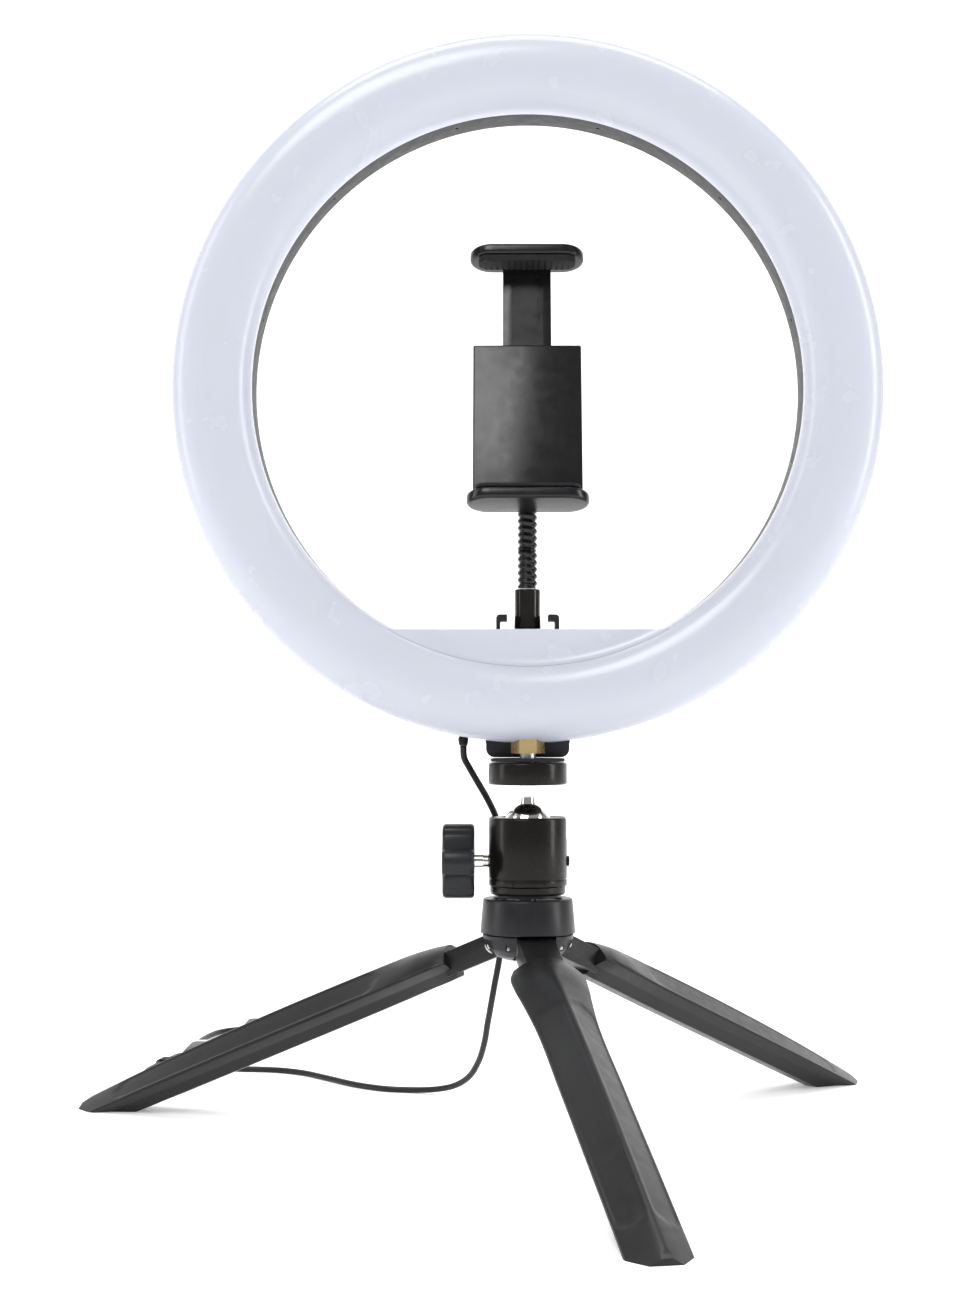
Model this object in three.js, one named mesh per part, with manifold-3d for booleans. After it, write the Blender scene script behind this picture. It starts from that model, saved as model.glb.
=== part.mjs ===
// A 26 cm ring light on a folding mini tripod, with a ball head, a phone clamp on a short gooseneck
// and its USB lead. Millimetres, +Z up, the lamp faces -Y. Every piece is drawn about the tripod hub's
// own axis, and HUB then places that axis so that the origin is the middle of the footprint.
import * as THREE from "three";
import { mergeVertices } from "three/addons/utils/BufferGeometryUtils.js";
import Module from "manifold-3d";

const wasm = await Module();
wasm.setup();

// Driving dimensions
const HUB = { x: 17.4, y: 27.5 }; // the hub axis in the part's frame
const FIT = 0.3; // gap between two pieces that touch
const QUARTER_INCH_R = 3.1; // 1/4 inch tripod thread, drawn plain
const THREAD_BORE_R = QUARTER_INCH_R + FIT;

const LEG_AZIMUTHS = { leg_front: -78.5, leg_right: 41.5, leg_left: 161.5 }; // degrees from +X
const LEG_SLOPE = 23.3; // degrees below the horizon when spread
const LEG_PIVOT = { r: 11, z: 69.5 };
const LEG_REACH = 181.5; // hub axis to the tip of a spread leg
const LUG = { halfWidth: 6.8, r: 4.4, length: 21 };
const LEG_PIN = { r: 1.5, length: 21 };

const COLLAR = { z0: 73.7, z1: 86.3, r0: 17.3, r1: 16.2, wall: 2.6 };
const HEAD = { r: 14.25, z0: 90.9, z1: 115.6, bore: 10 };
const BALL = { r: 9, z: 111.8 };
const KNOB = { x0: -31, x1: -19.4, r: 13.5, z: 99.6 };
const PLATFORM = { r: 14.25, z0: 127.4, z1: 135.4 };

const RING = { z: 272.5, outer: 130, inner: 101, dome: 11.5, back: 17, wall: 1.8 };
const RING_STEPS = 60;
const ROUND_STEPS = 28; // sides of the turned hub and head pieces
const WEB_TOP = 183.8; // top edge of the filled segment inside the ring
const SHELF_TOP = 180.2; // its shelf, behind the front lip
const TAB = { halfWidth: 15.2, z0: 137.2, corner: 3.2 };
const SHELL_SCREWS = [30, 90, 150, 210, 270, 330]; // degrees round the ring
const SCREW_CIRCLE = 115.5;

const SHOE = { halfWidth: 11.5, lipGap: 7.5, top: 189.3, lip: 2.3, wall: 1.5, y0: -1.4, y1: 11.6 };
const NECK = { y: 6, r: 3.6, z0: 199.1, split: 213, bend: 222 };
const CLAMP = { y: -0.5, z: 226.2, lean: 15 }; // rear lower edge of the lower jaw
const JAW = { width: 44.4, depth: 17, thick: 4.2, gap: 92.5 };
const CLAMP_BODY = { halfWidth: 20, top: 63.8, depth: 7.5 };
const CLAMP_STUD_Y = 5.7; // the neck's end behind the clamp's back

const CORD_R = 1.2;
const CORD_Z = 1.25; // height of the cord's centre on the table
const HANK = { x: -142.8, y: 107, length: 50.8, width: 17, height: 9.6, turn: -10.2 };
const CONTROL = { x: -122, y0: 175, y1: 235, width: 15, height: 9 };
const PLUG = { x: -141, y0: 150, body: 24, width: 14.5, height: 7.5, shell: 13.5 };

const plastic = (color, roughness) => new THREE.MeshStandardMaterial({ color, roughness, metalness: 0 });
const metal = (color, roughness) => new THREE.MeshStandardMaterial({ color, roughness, metalness: 1 });
const MATERIALS = {
  milky: plastic(0xdfe4ef, 0.25),
  shell: plastic(0x2b2b2e, 0.45),
  legs: plastic(0x26262a, 0.42),
  hub: plastic(0x2a2a2d, 0.4),
  anodised: metal(0x18181a, 0.35),
  glossy: plastic(0x101012, 0.2),
  knob: plastic(0x2c2d31, 0.4),
  chrome: metal(0xd8d6d0, 0.12),
  steel: metal(0xa9a9ab, 0.3),
  brass: metal(0xb5934d, 0.3),
  board: plastic(0xe9ece8, 0.6),
  greenBoard: plastic(0x1d5a36, 0.5),
  rubber: plastic(0x1a1a1b, 0.85),
  cord: plastic(0x161617, 0.5),
};

const radians = THREE.MathUtils.degToRad;
const object = new THREE.Group();

// Solids and booleans

function bare(geometry) {
  const copy = geometry.clone();
  copy.deleteAttribute("normal");
  copy.deleteAttribute("uv");
  return mergeVertices(copy, 1e-4);
}

function solid(geometry) {
  const merged = bare(geometry);
  const triVerts = new Uint32Array(merged.index.array);
  const vertProperties = new Float32Array(merged.attributes.position.array);
  const made = new wasm.Manifold(new wasm.Mesh({ numProp: 3, vertProperties, triVerts }));
  if (made.volume() > 0) return made;
  for (let i = 0; i < triVerts.length; i += 3) {
    [triVerts[i + 1], triVerts[i + 2]] = [triVerts[i + 2], triVerts[i + 1]];
  }
  return new wasm.Manifold(new wasm.Mesh({ numProp: 3, vertProperties, triVerts }));
}

function surface(manifold) {
  const mesh = manifold.getMesh();
  const geometry = new THREE.BufferGeometry();
  const position = new Float32Array(mesh.numVert * 3);
  for (let i = 0; i < mesh.numVert; i++) {
    for (let k = 0; k < 3; k++) position[3 * i + k] = mesh.vertProperties[mesh.numProp * i + k];
  }
  geometry.setAttribute("position", new THREE.BufferAttribute(position, 3));
  geometry.setIndex(new THREE.BufferAttribute(new Uint32Array(mesh.triVerts), 1));
  return geometry;
}

// One solid from the pieces to join, less the pieces to cut away.
function carve(joined, cuts = []) {
  let made = solid(joined[0]);
  for (const piece of joined.slice(1)) made = made.add(solid(piece));
  for (const cut of cuts) made = made.subtract(solid(cut));
  return surface(made);
}

function add(parent, name, geometry, material) {
  const mesh = new THREE.Mesh(geometry, MATERIALS[material]);
  mesh.name = name;
  parent.add(mesh);
  return mesh;
}

function group(parent, position = [0, 0, 0], rotation = [0, 0, 0]) {
  const made = new THREE.Group();
  made.position.set(...position);
  made.rotation.set(...rotation.map(radians));
  parent.add(made);
  return made;
}

// Shapes

// A profile of [radius, z] pairs turned about the Z axis.
function turned(profile, steps = 20) {
  const points = profile.map(([r, z]) => new THREE.Vector2(r, z));
  return new THREE.LatheGeometry(points, steps).rotateX(Math.PI / 2);
}

function tube(r0, r1, z0, z1, steps = 32) {
  return turned([[r0, z0], [r1, z0], [r1, z1], [r0, z1], [r0, z0]], steps);
}

function rod(r, z0, z1, steps = 16) {
  return new THREE.CylinderGeometry(r, r, z1 - z0, steps).rotateX(Math.PI / 2).translate(0, 0, (z0 + z1) / 2);
}

function rodX(r, x0, x1, z, steps = 16) {
  return new THREE.CylinderGeometry(r, r, x1 - x0, steps).rotateZ(Math.PI / 2).translate((x0 + x1) / 2, 0, z);
}

function rodY(r, y0, y1, x = 0, z = 0, steps = 12) {
  return new THREE.CylinderGeometry(r, r, y1 - y0, steps).translate(x, (y0 + y1) / 2, z);
}

function box([x0, y0, z0], [x1, y1, z1]) {
  return new THREE.BoxGeometry(x1 - x0, y1 - y0, z1 - z0).translate((x0 + x1) / 2, (y0 + y1) / 2, (z0 + z1) / 2);
}

// A flat outline in X and Y, from z0 up to z1.
function slab(shape, z0, z1, curveSegments = 8) {
  return new THREE.ExtrudeGeometry(shape, { depth: z1 - z0, bevelEnabled: false, curveSegments }).translate(0, 0, z0);
}

// A flat outline in X and Z, from y0 back to y1.
function plate(shape, y0, y1, curveSegments = 8) {
  return slab(shape, -y1, -y0, curveSegments).rotateX(Math.PI / 2);
}

function roundedBox(width, height, corner) {
  const [w, h] = [width / 2, height / 2];
  const shape = new THREE.Shape();
  shape.moveTo(-w + corner, -h);
  shape.lineTo(w - corner, -h);
  shape.absarc(w - corner, -h + corner, corner, -Math.PI / 2, 0);
  shape.lineTo(w, h - corner);
  shape.absarc(w - corner, h - corner, corner, 0, Math.PI / 2);
  shape.lineTo(-w + corner, h);
  shape.absarc(-w + corner, h - corner, corner, Math.PI / 2, Math.PI);
  shape.lineTo(-w, -h + corner);
  shape.absarc(-w + corner, -h + corner, corner, Math.PI, 1.5 * Math.PI);
  return shape;
}

function hexagon(acrossFlats) {
  const r = acrossFlats / Math.sqrt(3);
  const corners = [0, 1, 2, 3, 4, 5].map((i) => radians(60 * i));
  return new THREE.Shape(corners.map((a) => new THREE.Vector2(r * Math.cos(a), r * Math.sin(a))));
}

// A round section swept along a smooth curve through the points.
function swept(points, r, steps, sides = 8) {
  const section = new THREE.Shape();
  for (let i = 0; i < sides; i++) {
    const a = (2 * Math.PI * i) / sides;
    section[i ? "lineTo" : "moveTo"](r * Math.cos(a), r * Math.sin(a));
  }
  const curve = new THREE.CatmullRomCurve3(points.map((p) => new THREE.Vector3(...p)), false, "centripetal");
  return new THREE.ExtrudeGeometry(section, { steps, bevelEnabled: false, extrudePath: curve });
}

// Rings of points joined one to the next, closed at both ends by a fan about the ring's middle.
function lofted(rings) {
  const n = rings[0].length;
  const count = rings.length * n;
  const position = rings.flat();
  const index = [];
  for (let i = 0; i + 1 < rings.length; i++) {
    for (let j = 0; j < n; j++) {
      const [a, b] = [i * n + j, i * n + ((j + 1) % n)];
      index.push(a, b, b + n, a, b + n, a + n);
    }
  }
  for (const ring of [rings[0], rings.at(-1)]) {
    const middle = new THREE.Vector3();
    for (const point of ring) middle.addScaledVector(point, 1 / n);
    position.push(middle);
  }
  for (let j = 0; j < n; j++) {
    const next = (j + 1) % n;
    index.push(count, next, j, count + 1, count - n + j, count - n + next);
  }
  const geometry = new THREE.BufferGeometry().setFromPoints(position);
  geometry.setIndex(index);
  return geometry;
}

// Tripod

// A leg's section at u along it: half width, crown, side edge and underside heights, and how far the
// round neck (0) has become the ridged bar (1).
const LEG_SECTIONS = [
  { u: 18.5, half: 11.8, crown: 6.5, side: 0.9, under: -5.9, ridge: 0 },
  { u: 22, half: 13.2, crown: 7.2, side: 0.9, under: -6.1, ridge: 0 },
  { u: 30, half: 13.4, crown: 8.2, side: 0.9, under: -6.1, ridge: 0.1 },
  { u: 38, half: 12.6, crown: 8.6, side: 0.9, under: -6.2, ridge: 0.55 },
  { u: 50, half: 11.5, crown: 8.8, side: 0.9, under: -6.3, ridge: 1 },
  { u: 95, half: 10.8, crown: 9.0, side: 0.9, under: -6.3, ridge: 1 },
  { u: 145, half: 10.6, crown: 8.0, side: 0.8, under: -6.1, ridge: 1 },
  { u: 205, half: 10.4, crown: 4.9, side: 0.2, under: -5.6, ridge: 1 },
];
const UNDERSIDE_HALF = 3.4;

function legSection({ u, half, crown, side, under, ridge }) {
  const right = [];
  for (let i = 1; i <= 5; i++) {
    const t = i / 5;
    const fall = (1 - ridge) * t * t + ridge * t;
    right.push([half * t, crown - (crown - side) * fall]);
  }
  right.push([(half + UNDERSIDE_HALF) / 2 - 0.8, (side + under) / 2 + 0.3], [UNDERSIDE_HALF, under]);
  const left = right.map(([v, w]) => [-v, w]).reverse();
  const [c, s] = [Math.cos(radians(LEG_SLOPE)), Math.sin(radians(LEG_SLOPE))];
  return [[0, crown], ...right, ...left].map(
    ([v, w]) => new THREE.Vector3(LEG_PIVOT.r + c * u + s * w, v, LEG_PIVOT.z - s * u + c * w),
  );
}

// A leg, drawn along +X from the hub axis.
function legShape() {
  const lug = box([0, -LUG.halfWidth, -LUG.r], [LUG.length, LUG.halfWidth, LUG.r])
    .rotateY(radians(LEG_SLOPE))
    .translate(LEG_PIVOT.r, 0, LEG_PIVOT.z);
  const eye = rodY(LUG.r, -LUG.halfWidth, LUG.halfWidth, LEG_PIVOT.r, LEG_PIVOT.z, 24);
  const pinBore = rodY(LEG_PIN.r + FIT, -20, 20, LEG_PIVOT.r, LEG_PIVOT.z);
  const floor = box([100, -30, -60], [260, 30, 0]);
  const tip = box([LEG_REACH, -30, -5], [260, 30, 30]);
  return carve([lofted(LEG_SECTIONS.map(legSection)), lug, eye], [pinBore, floor, tip]);
}

function addTripod() {
  const collar = turned([
    [THREAD_BORE_R, COLLAR.z1 - 3],
    [COLLAR.r1 - COLLAR.wall, COLLAR.z1 - 3],
    [COLLAR.r0 - COLLAR.wall, COLLAR.z0],
    [COLLAR.r0, COLLAR.z0],
    [COLLAR.r1 + 0.1, COLLAR.z1 - 0.6],
    [COLLAR.r1 - 0.6, COLLAR.z1],
    [12.4, COLLAR.z1],
    [12.4, COLLAR.z1 - 0.9],
    [THREAD_BORE_R, COLLAR.z1 - 0.9],
    [THREAD_BORE_R, COLLAR.z1 - 3],
  ], ROUND_STEPS);
  add(object, "hub_collar", collar, "hub");

  const bowl = turned([
    [0, 64],
    [8.5, 64.2],
    [12.6, 65.8],
    [15.2, 68.4],
    [16.4, 71.4],
    [16.6, COLLAR.z0 - FIT],
    [14.2, COLLAR.z0 - FIT],
    [13.2, COLLAR.z1 - 3.3],
    [0, COLLAR.z1 - 3.3],
  ], ROUND_STEPS);
  const slots = Object.values(LEG_AZIMUTHS).flatMap((azimuth) => [
    box([LEG_PIVOT.r - LUG.r - 0.6, -LUG.halfWidth - FIT, 60], [30, LUG.halfWidth + FIT, LEG_PIVOT.z + LUG.r + 0.5])
      .rotateZ(radians(azimuth)),
    rodY(LEG_PIN.r + 0.02, -LEG_PIN.length / 2 - 0.02, LEG_PIN.length / 2 + 0.02, LEG_PIVOT.r, LEG_PIVOT.z)
      .rotateZ(radians(azimuth)),
  ]);
  const nutPocket = slab(hexagon(11 + 2 * FIT), 78.2, 90);
  add(object, "hub_core", carve([bowl], [...slots, nutPocket, rod(THREAD_BORE_R, 76.5, 90)]), "hub");

  add(object, "stud_nut", carve([slab(hexagon(11), 78.5, 82.7)], [rod(THREAD_BORE_R, 70, 90)]), "steel");
  add(object, "hub_stud", rod(QUARTER_INCH_R, 76.9, 95.5), "steel");

  for (const [name, azimuth] of Object.entries(LEG_AZIMUTHS)) {
    const side = group(object, [0, 0, 0], [0, 0, azimuth]);
    add(side, name, legShape(), "legs");
    const pinEnds = LEG_PIN.length / 2 - FIT;
    const pin = rodY(LEG_PIN.r - 0.3, -pinEnds, pinEnds, LEG_PIVOT.r, LEG_PIVOT.z);
    add(side, name.replace("leg", "leg_pin"), pin, "steel");
  }
}

// Ball head

function addBallHead() {
  const plug = turned([
    [THREAD_BORE_R, 86.7],
    [12, 86.7],
    [12, 87.7],
    [13.1, 87.7],
    [13.9, 88.5],
    [13.9, HEAD.z0 - FIT],
    [HEAD.bore - 0.4, HEAD.z0 - FIT],
    [HEAD.bore - 0.4, 95.8],
    [THREAD_BORE_R, 95.8],
    [THREAD_BORE_R, 86.7],
  ], ROUND_STEPS);
  add(object, "base_plug", plug, "anodised");

  const seatR = BALL.r + FIT;
  const shell = turned([
    [HEAD.bore, HEAD.z0],
    [HEAD.r, HEAD.z0],
    [HEAD.r, HEAD.z1 - 0.8],
    [HEAD.r - 0.7, HEAD.z1],
    [8.5, HEAD.z1],
    [seatR * Math.cos(radians(9)), BALL.z + seatR * Math.sin(radians(9))],
    [seatR, BALL.z],
    [HEAD.bore, BALL.z - 2],
    [HEAD.bore, HEAD.z0],
  ], ROUND_STEPS);
  const notch = [box([5, -3.3, 110], [20, 3.3, 120]), rodX(3.3, 5, 20, 110)];
  const bores = [rodX(2.75, -20, -5, KNOB.z), rodX(2.2, 5, 20, KNOB.z)];
  add(object, "ball_housing", carve([shell], [...notch, ...bores]), "anodised");

  const cup = turned([
    [0, 101.9],
    [9.6, 101.9],
    [9.6, 107.4],
    [8.4, 107.4],
    [6, BALL.z - 7.3],
    [3, BALL.z - 9],
    [0, BALL.z - 9.35],
  ]);
  add(object, "brake_cup", cup, "board");
  add(object, "brake_plunger", turned([[0, 96.2], [5, 96.2], [9, 101.6], [0, 101.6]]), "steel");
  add(object, "set_screw", rodX(1.9, 10.6, 15.1, KNOB.z, 16), "steel");

  const screw = turned([[0, -26.7], [2.45, -26.7], [2.45, -10.6], [0.6, -8.6], [0, -8.6]], 16)
    .rotateY(Math.PI / 2)
    .translate(0, 0, KNOB.z);
  add(object, "lock_screw", screw, "chrome");

  const lobes = new THREE.Shape();
  const lobeSteps = 64;
  for (let i = 0; i < lobeSteps; i++) {
    const a = (2 * Math.PI * i) / lobeSteps;
    const swell = Math.pow(Math.abs(Math.cos(4 * a)), 0.45) * Math.sign(Math.cos(4 * a));
    const r = KNOB.r - 1.9 * (1 - swell);
    lobes[i ? "lineTo" : "moveTo"](r * Math.cos(a), r * Math.sin(a));
  }
  const bevel = 0.8;
  const knob = new THREE.ExtrudeGeometry(lobes, {
    depth: KNOB.x1 - KNOB.x0 - 2 * bevel,
    bevelThickness: bevel,
    bevelSize: bevel,
    bevelOffset: -bevel,
    bevelSegments: 1,
  });
  knob.rotateY(Math.PI / 2).translate(KNOB.x0 + bevel, 0, KNOB.z);
  add(object, "lock_knob", carve([knob], [rodX(2.75, -27, -10, KNOB.z)]), "knob");
}

function addBallAndPlatform() {
  const sphere = new THREE.SphereGeometry(BALL.r, 20, 12).rotateX(Math.PI / 2).translate(0, 0, BALL.z);
  add(object, "ball", sphere, "chrome");
  const stemZ = BALL.z + BALL.r + FIT;
  const stem = turned([[0, stemZ], [2.5, stemZ], [2.75, PLATFORM.z0 - FIT], [0, PLATFORM.z0 - FIT]], 20);
  add(object, "ball_stem", stem, "chrome");

  const { r, z0, z1 } = PLATFORM;
  const disc = turned([[0, z0], [r - 0.7, z0], [r, z0 + 0.7], [r, z1 - 0.7], [r - 0.7, z1], [0, z1]], ROUND_STEPS);
  add(object, "platform_disc", carve([disc], [rod(THREAD_BORE_R, z0 + 1.3, 140)]), "anodised");
  add(object, "platform_pad", tube(3.6, r - 0.8, z1 + FIT, TAB.z0 - FIT, ROUND_STEPS), "rubber");
  add(object, "platform_screw", rod(QUARTER_INCH_R, z0 + 1.6, 143.4), "steel");
}

// Ring lamp

// A closed profile of [radius, depth] pairs turned about the ring's own axis, which runs along Y.
function ringTurned(profile, steps = RING_STEPS) {
  return turned(profile.map(([r, y]) => [r, -y]), steps).rotateX(Math.PI / 2).translate(0, 0, RING.z);
}

// Where the front dome stands at a radius: 0 at its rims and 1 at its crest.
function domeArch(t) {
  return Math.pow(1 - Math.pow(Math.abs(2 * t - 1), 2.4), 1 / 2.1);
}

// The segment of the ring's hole below a height, as an outline in X and Z.
function segment(top, r) {
  const drop = top - RING.z;
  const half = Math.acos(-drop / r);
  const shape = new THREE.Shape();
  const steps = 16;
  for (let i = 0; i <= steps; i++) {
    const a = -Math.PI / 2 - half + (2 * half * i) / steps;
    shape[i ? "lineTo" : "moveTo"](r * Math.cos(a), RING.z + r * Math.sin(a));
  }
  return shape;
}

// The foot tab's outline in X and Z, flared where it runs into the ring.
function tabShape() {
  const { halfWidth: w, z0, corner } = TAB;
  const root = RING.z - Math.sqrt((RING.outer - 3) ** 2 - (w + 3) ** 2);
  const shape = new THREE.Shape();
  shape.moveTo(-w + corner, z0);
  shape.lineTo(w - corner, z0);
  shape.absarc(w - corner, z0 + corner, corner, -Math.PI / 2, 0);
  shape.lineTo(w, root - 5);
  shape.quadraticCurveTo(w, root - 2, w + 3, root);
  shape.lineTo(-w - 3, root);
  shape.quadraticCurveTo(-w, root - 2, -w, root - 5);
  shape.lineTo(-w, z0 + corner);
  shape.absarc(-w + corner, z0 + corner, corner, Math.PI, 1.5 * Math.PI);
  return shape;
}

const onRing = (r, degrees) => [r * Math.cos(radians(degrees)), RING.z + r * Math.sin(radians(degrees))];

function addDiffuser() {
  const { outer, inner, dome, wall } = RING;
  const rim = 0.6;
  const arch = [];
  const steps = 7;
  for (let i = 0; i <= steps; i++) {
    const t = i / steps;
    arch.push([outer + (inner - outer) * t, -1 - (dome - 1) * domeArch(t)]);
  }
  const inside = [];
  for (let i = steps - 1; i >= 1; i--) {
    const t = i / steps;
    const r = outer - wall + (inner - outer + 2 * wall) * t;
    inside.push([r, -1 + wall / 2 - (dome - 1 - wall / 2) * domeArch(t)]);
  }
  const profile = [
    [outer, rim], ...arch, [inner, rim], [inner + wall, rim], ...inside, [outer - wall, rim], [outer, rim],
  ];
  const web = plate(segment(WEB_TOP, inner + 0.8), -4, -4 + wall);
  const tab = plate(tabShape(), -9.5, rim);
  const bosses = SHELL_SCREWS.map((a) => rodY(2.6, -dome + 1.5, rim, ...onRing(SCREW_CIRCLE, a), 12));
  const bossBores = SHELL_SCREWS.map((a) => rodY(1.5, -5.5, 3, ...onRing(SCREW_CIRCLE, a), 8));
  const nutPocket = slab(hexagon(11.4), 138.4, 145);
  const cuts = [...bossBores, nutPocket, rod(THREAD_BORE_R + 0.2, 130, 140)];
  add(object, "front_diffuser", carve([ringTurned(profile), web, tab, ...bosses], cuts), "milky");
}

function addRearShell() {
  const { outer, inner, back, wall } = RING;
  const front = 0.6 + FIT;
  const round = 3;
  const profile = [
    [outer - 0.4, front],
    [outer - 0.4, back - round],
    [outer - 0.4 - round * 0.3, back - round * 0.3],
    [outer - 0.4 - round, back],
    [inner + 1.6, back],
    [inner, back - 1.6],
    [inner, front],
    [inner + wall, front],
    [inner + wall, back - wall],
    [outer - 0.4 - wall, back - wall],
    [outer - 0.4 - wall, front],
    [outer - 0.4, front],
  ];
  const rearWeb = plate(segment(SHELF_TOP, inner + 0.8), back - wall, back);
  const shelf = [
    plate(segment(SHELF_TOP, inner - FIT), -1.9, front + 1),
    plate(segment(SHELF_TOP, inner + 0.8), front, back),
  ];
  const underShelf = plate(segment(SHELF_TOP - wall, inner + 0.9), -3, back - wall - 0.01);
  const tab = plate(tabShape(), front, back);
  const posts = SHELL_SCREWS.map((a) => rodY(3.2, 5, back - 1, ...onRing(SCREW_CIRCLE, a), 12));
  const bores = SHELL_SCREWS.flatMap((a) => [
    rodY(1.5, 0, 20, ...onRing(SCREW_CIRCLE, a), 12),
    rodY(3, back - 1.7, 20, ...onRing(SCREW_CIRCLE, a), 12),
  ]);
  const web = carve(shelf, [underShelf]);
  const cordBore = rod(1.7, 140, 150, 12).translate(-23.6, 7, 0);
  const cuts = [...bores, slab(hexagon(11.4), 138.4, 145), rod(THREAD_BORE_R + 0.2, 130, 140), cordBore];
  add(object, "rear_shell", carve([ringTurned(profile), web, rearWeb, tab, ...posts], cuts), "shell");
}

function addRingParts() {
  const board = ringTurned([[104, 3], [125.2, 3], [125.2, 4.6], [104, 4.6], [104, 3]]);
  const chips = [];
  const chipCount = 24;
  for (let i = 0; i < chipCount; i++) {
    const a = (360 * (i + 0.5)) / chipCount;
    const chip = box([-1.75, 2, -1.4], [1.75, 3.1, 1.4]).rotateY(radians(-a));
    const [x, z] = onRing(i % 2 ? 110.5 : 120.5, a);
    chips.push(chip.translate(x, 0, z));
  }
  const holes = SHELL_SCREWS.map((a) => rodY(3, 0, 8, ...onRing(SCREW_CIRCLE, a), 12));
  add(object, "led_board", carve([board, ...chips], holes), "board");

  SHELL_SCREWS.forEach((a, i) => {
    const screw = carve([
      rodY(1.1, -4.5, RING.back - 1, ...onRing(SCREW_CIRCLE, a), 8),
      rodY(2.6, RING.back - 1.4, RING.back - 0.3, ...onRing(SCREW_CIRCLE, a), 12),
    ]);
    add(object, `shell_screw_${i + 1}`, screw, "steel");
  });

  const nut = carve([slab(hexagon(10.6), 138.7, 144.7)], [rod(THREAD_BORE_R, 130, 143.8)]);
  add(object, "tripod_nut", nut, "brass");

  const { halfWidth, lipGap, top, lip, wall, y0, y1 } = SHOE;
  const base = SHELF_TOP + FIT;
  const shoe = carve(
    [box([-halfWidth, y0, base], [halfWidth, y1, top])],
    [
      box([-halfWidth + wall, y0 - 1, base + 1.2], [halfWidth - wall, y1 + 1, top - lip]),
      box([-lipGap, y0 - 1, base + 1.2], [lipGap, y1 + 1, top + 1]),
    ],
  );
  add(object, "cold_shoe", shoe, "shell");

  const grommet = turned([[0, 141.6], [1.6, 141.6], [1.9, 144], [1.5, 144.8], [1.5, 147.5], [0, 147.5]], 12);
  add(object, "cord_grommet", grommet.translate(-23.6, 7, 0), "rubber");
}

// Phone clamp

function stadium(width, depth) {
  return roundedBox(width, depth, depth / 2 - 0.01);
}

function jawPlate(width, z0) {
  const { depth, thick } = JAW;
  return slab(stadium(width, depth), z0, z0 + thick, 6).translate(0, -depth / 2, 0);
}

function neckPath() {
  const lean = radians(CLAMP.lean);
  const inClamp = (z) => [
    0,
    CLAMP.y + CLAMP_STUD_Y * Math.cos(lean) + z * Math.sin(lean),
    CLAMP.z - CLAMP_STUD_Y * Math.sin(lean) + z * Math.cos(lean),
  ];
  return [[0, NECK.y, NECK.split + FIT], [0, NECK.y, NECK.bend - 4], inClamp(5.5), inClamp(9.4)];
}

function addNeck() {
  const base = SHELF_TOP + FIT + 1.2 + FIT;
  const foot = carve([
    box([-9.1, NECK.y - 6.6, base], [9.1, NECK.y + 6, base + 2]),
    rod(4.6, base + 1, 184, 20).translate(0, NECK.y, 0),
  ]);
  add(object, "shoe_foot", foot, "anodised");
  const sleeve = turned([[0, 184.3], [4.9, 184.3], [4.75, 188], [4.75, 198], [4.2, 198.8], [0, 198.8]], 24);
  add(object, "lower_ferrule", sleeve.translate(0, NECK.y, 0), "glossy");
  add(object, "gooseneck_lower", rod(NECK.r, NECK.z0, NECK.split, 16).translate(0, NECK.y, 0), "glossy");
  add(object, "gooseneck_upper", swept(neckPath(), NECK.r, 12, 12), "glossy");
}

function addClamp() {
  const clamp = group(object, [0, CLAMP.y, CLAMP.z], [-CLAMP.lean, 0, 0]);
  const { halfWidth: w, top, depth } = CLAMP_BODY;
  const split = -2.7;

  add(clamp, "upper_ferrule", rod(4.6, 9.9, 19.6, 24).translate(0, CLAMP_STUD_Y, 0), "glossy");
  add(clamp, "holder_screw", rod(QUARTER_INCH_R, 19.9, 31).translate(0, CLAMP_STUD_Y, 0), "steel");

  const body = carve(
    [jawPlate(JAW.width, 0), box([-w, -depth, 1], [w, split, top])],
    [
      box([-16.6, split - 3, 6.5], [16.6, split + 1, top - 3.3]),
      box([-9.4, split - 3, 50], [9.4, split + 1, top + 1]),
    ],
  );
  add(clamp, "holder_body", body, "hub");

  const cover = carve(
    [box([-w, split + FIT, JAW.thick + 0.4], [w, 0, top]), box([-7, -0.5, 22], [7, 12, 35])],
    [rod(THREAD_BORE_R, 10, 31.5).translate(0, CLAMP_STUD_Y, 0)],
  );
  add(clamp, "holder_cover", cover, "hub");

  const arm = { y0: split - 2.7, y1: split - 0.3 };
  const upper = JAW.thick + JAW.gap;
  const slide = carve([
    jawPlate(JAW.width - 2, upper),
    box([-9, arm.y0, 40], [9, arm.y1, upper + 1]),
    box([-16, arm.y0, 38], [16, arm.y1, 41.3]),
  ]);
  add(clamp, "slide_jaw", slide, "hub");

  const pad = (z0, z1, width) =>
    slab(roundedBox(width, 8, 3.5), z0, z1, 4).translate(0, -JAW.depth + 4.6, 0);
  add(clamp, "lower_pad", pad(JAW.thick + FIT, JAW.thick + 1.6, 38), "rubber");
  add(clamp, "upper_pad", pad(upper - 2.8, upper - FIT, 36), "rubber");

  for (const [side, x] of [["left", -12.9], ["right", 12.9]]) {
    const turns = 6;
    const coil = [];
    for (let i = 0; i <= turns * 6; i++) {
      const a = (2 * Math.PI * i) / 6;
      coil.push([x + 0.95 * Math.cos(a), split - 1.5 + 0.95 * Math.sin(a), 42.1 + (17.6 * i) / (turns * 6)]);
    }
    add(clamp, `clamp_spring_${side}`, swept(coil, 0.3, turns * 7, 4), "steel");
  }
}

// Lead, controller and plug. These points are about the hub axis too, on the table at z = 0.

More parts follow.
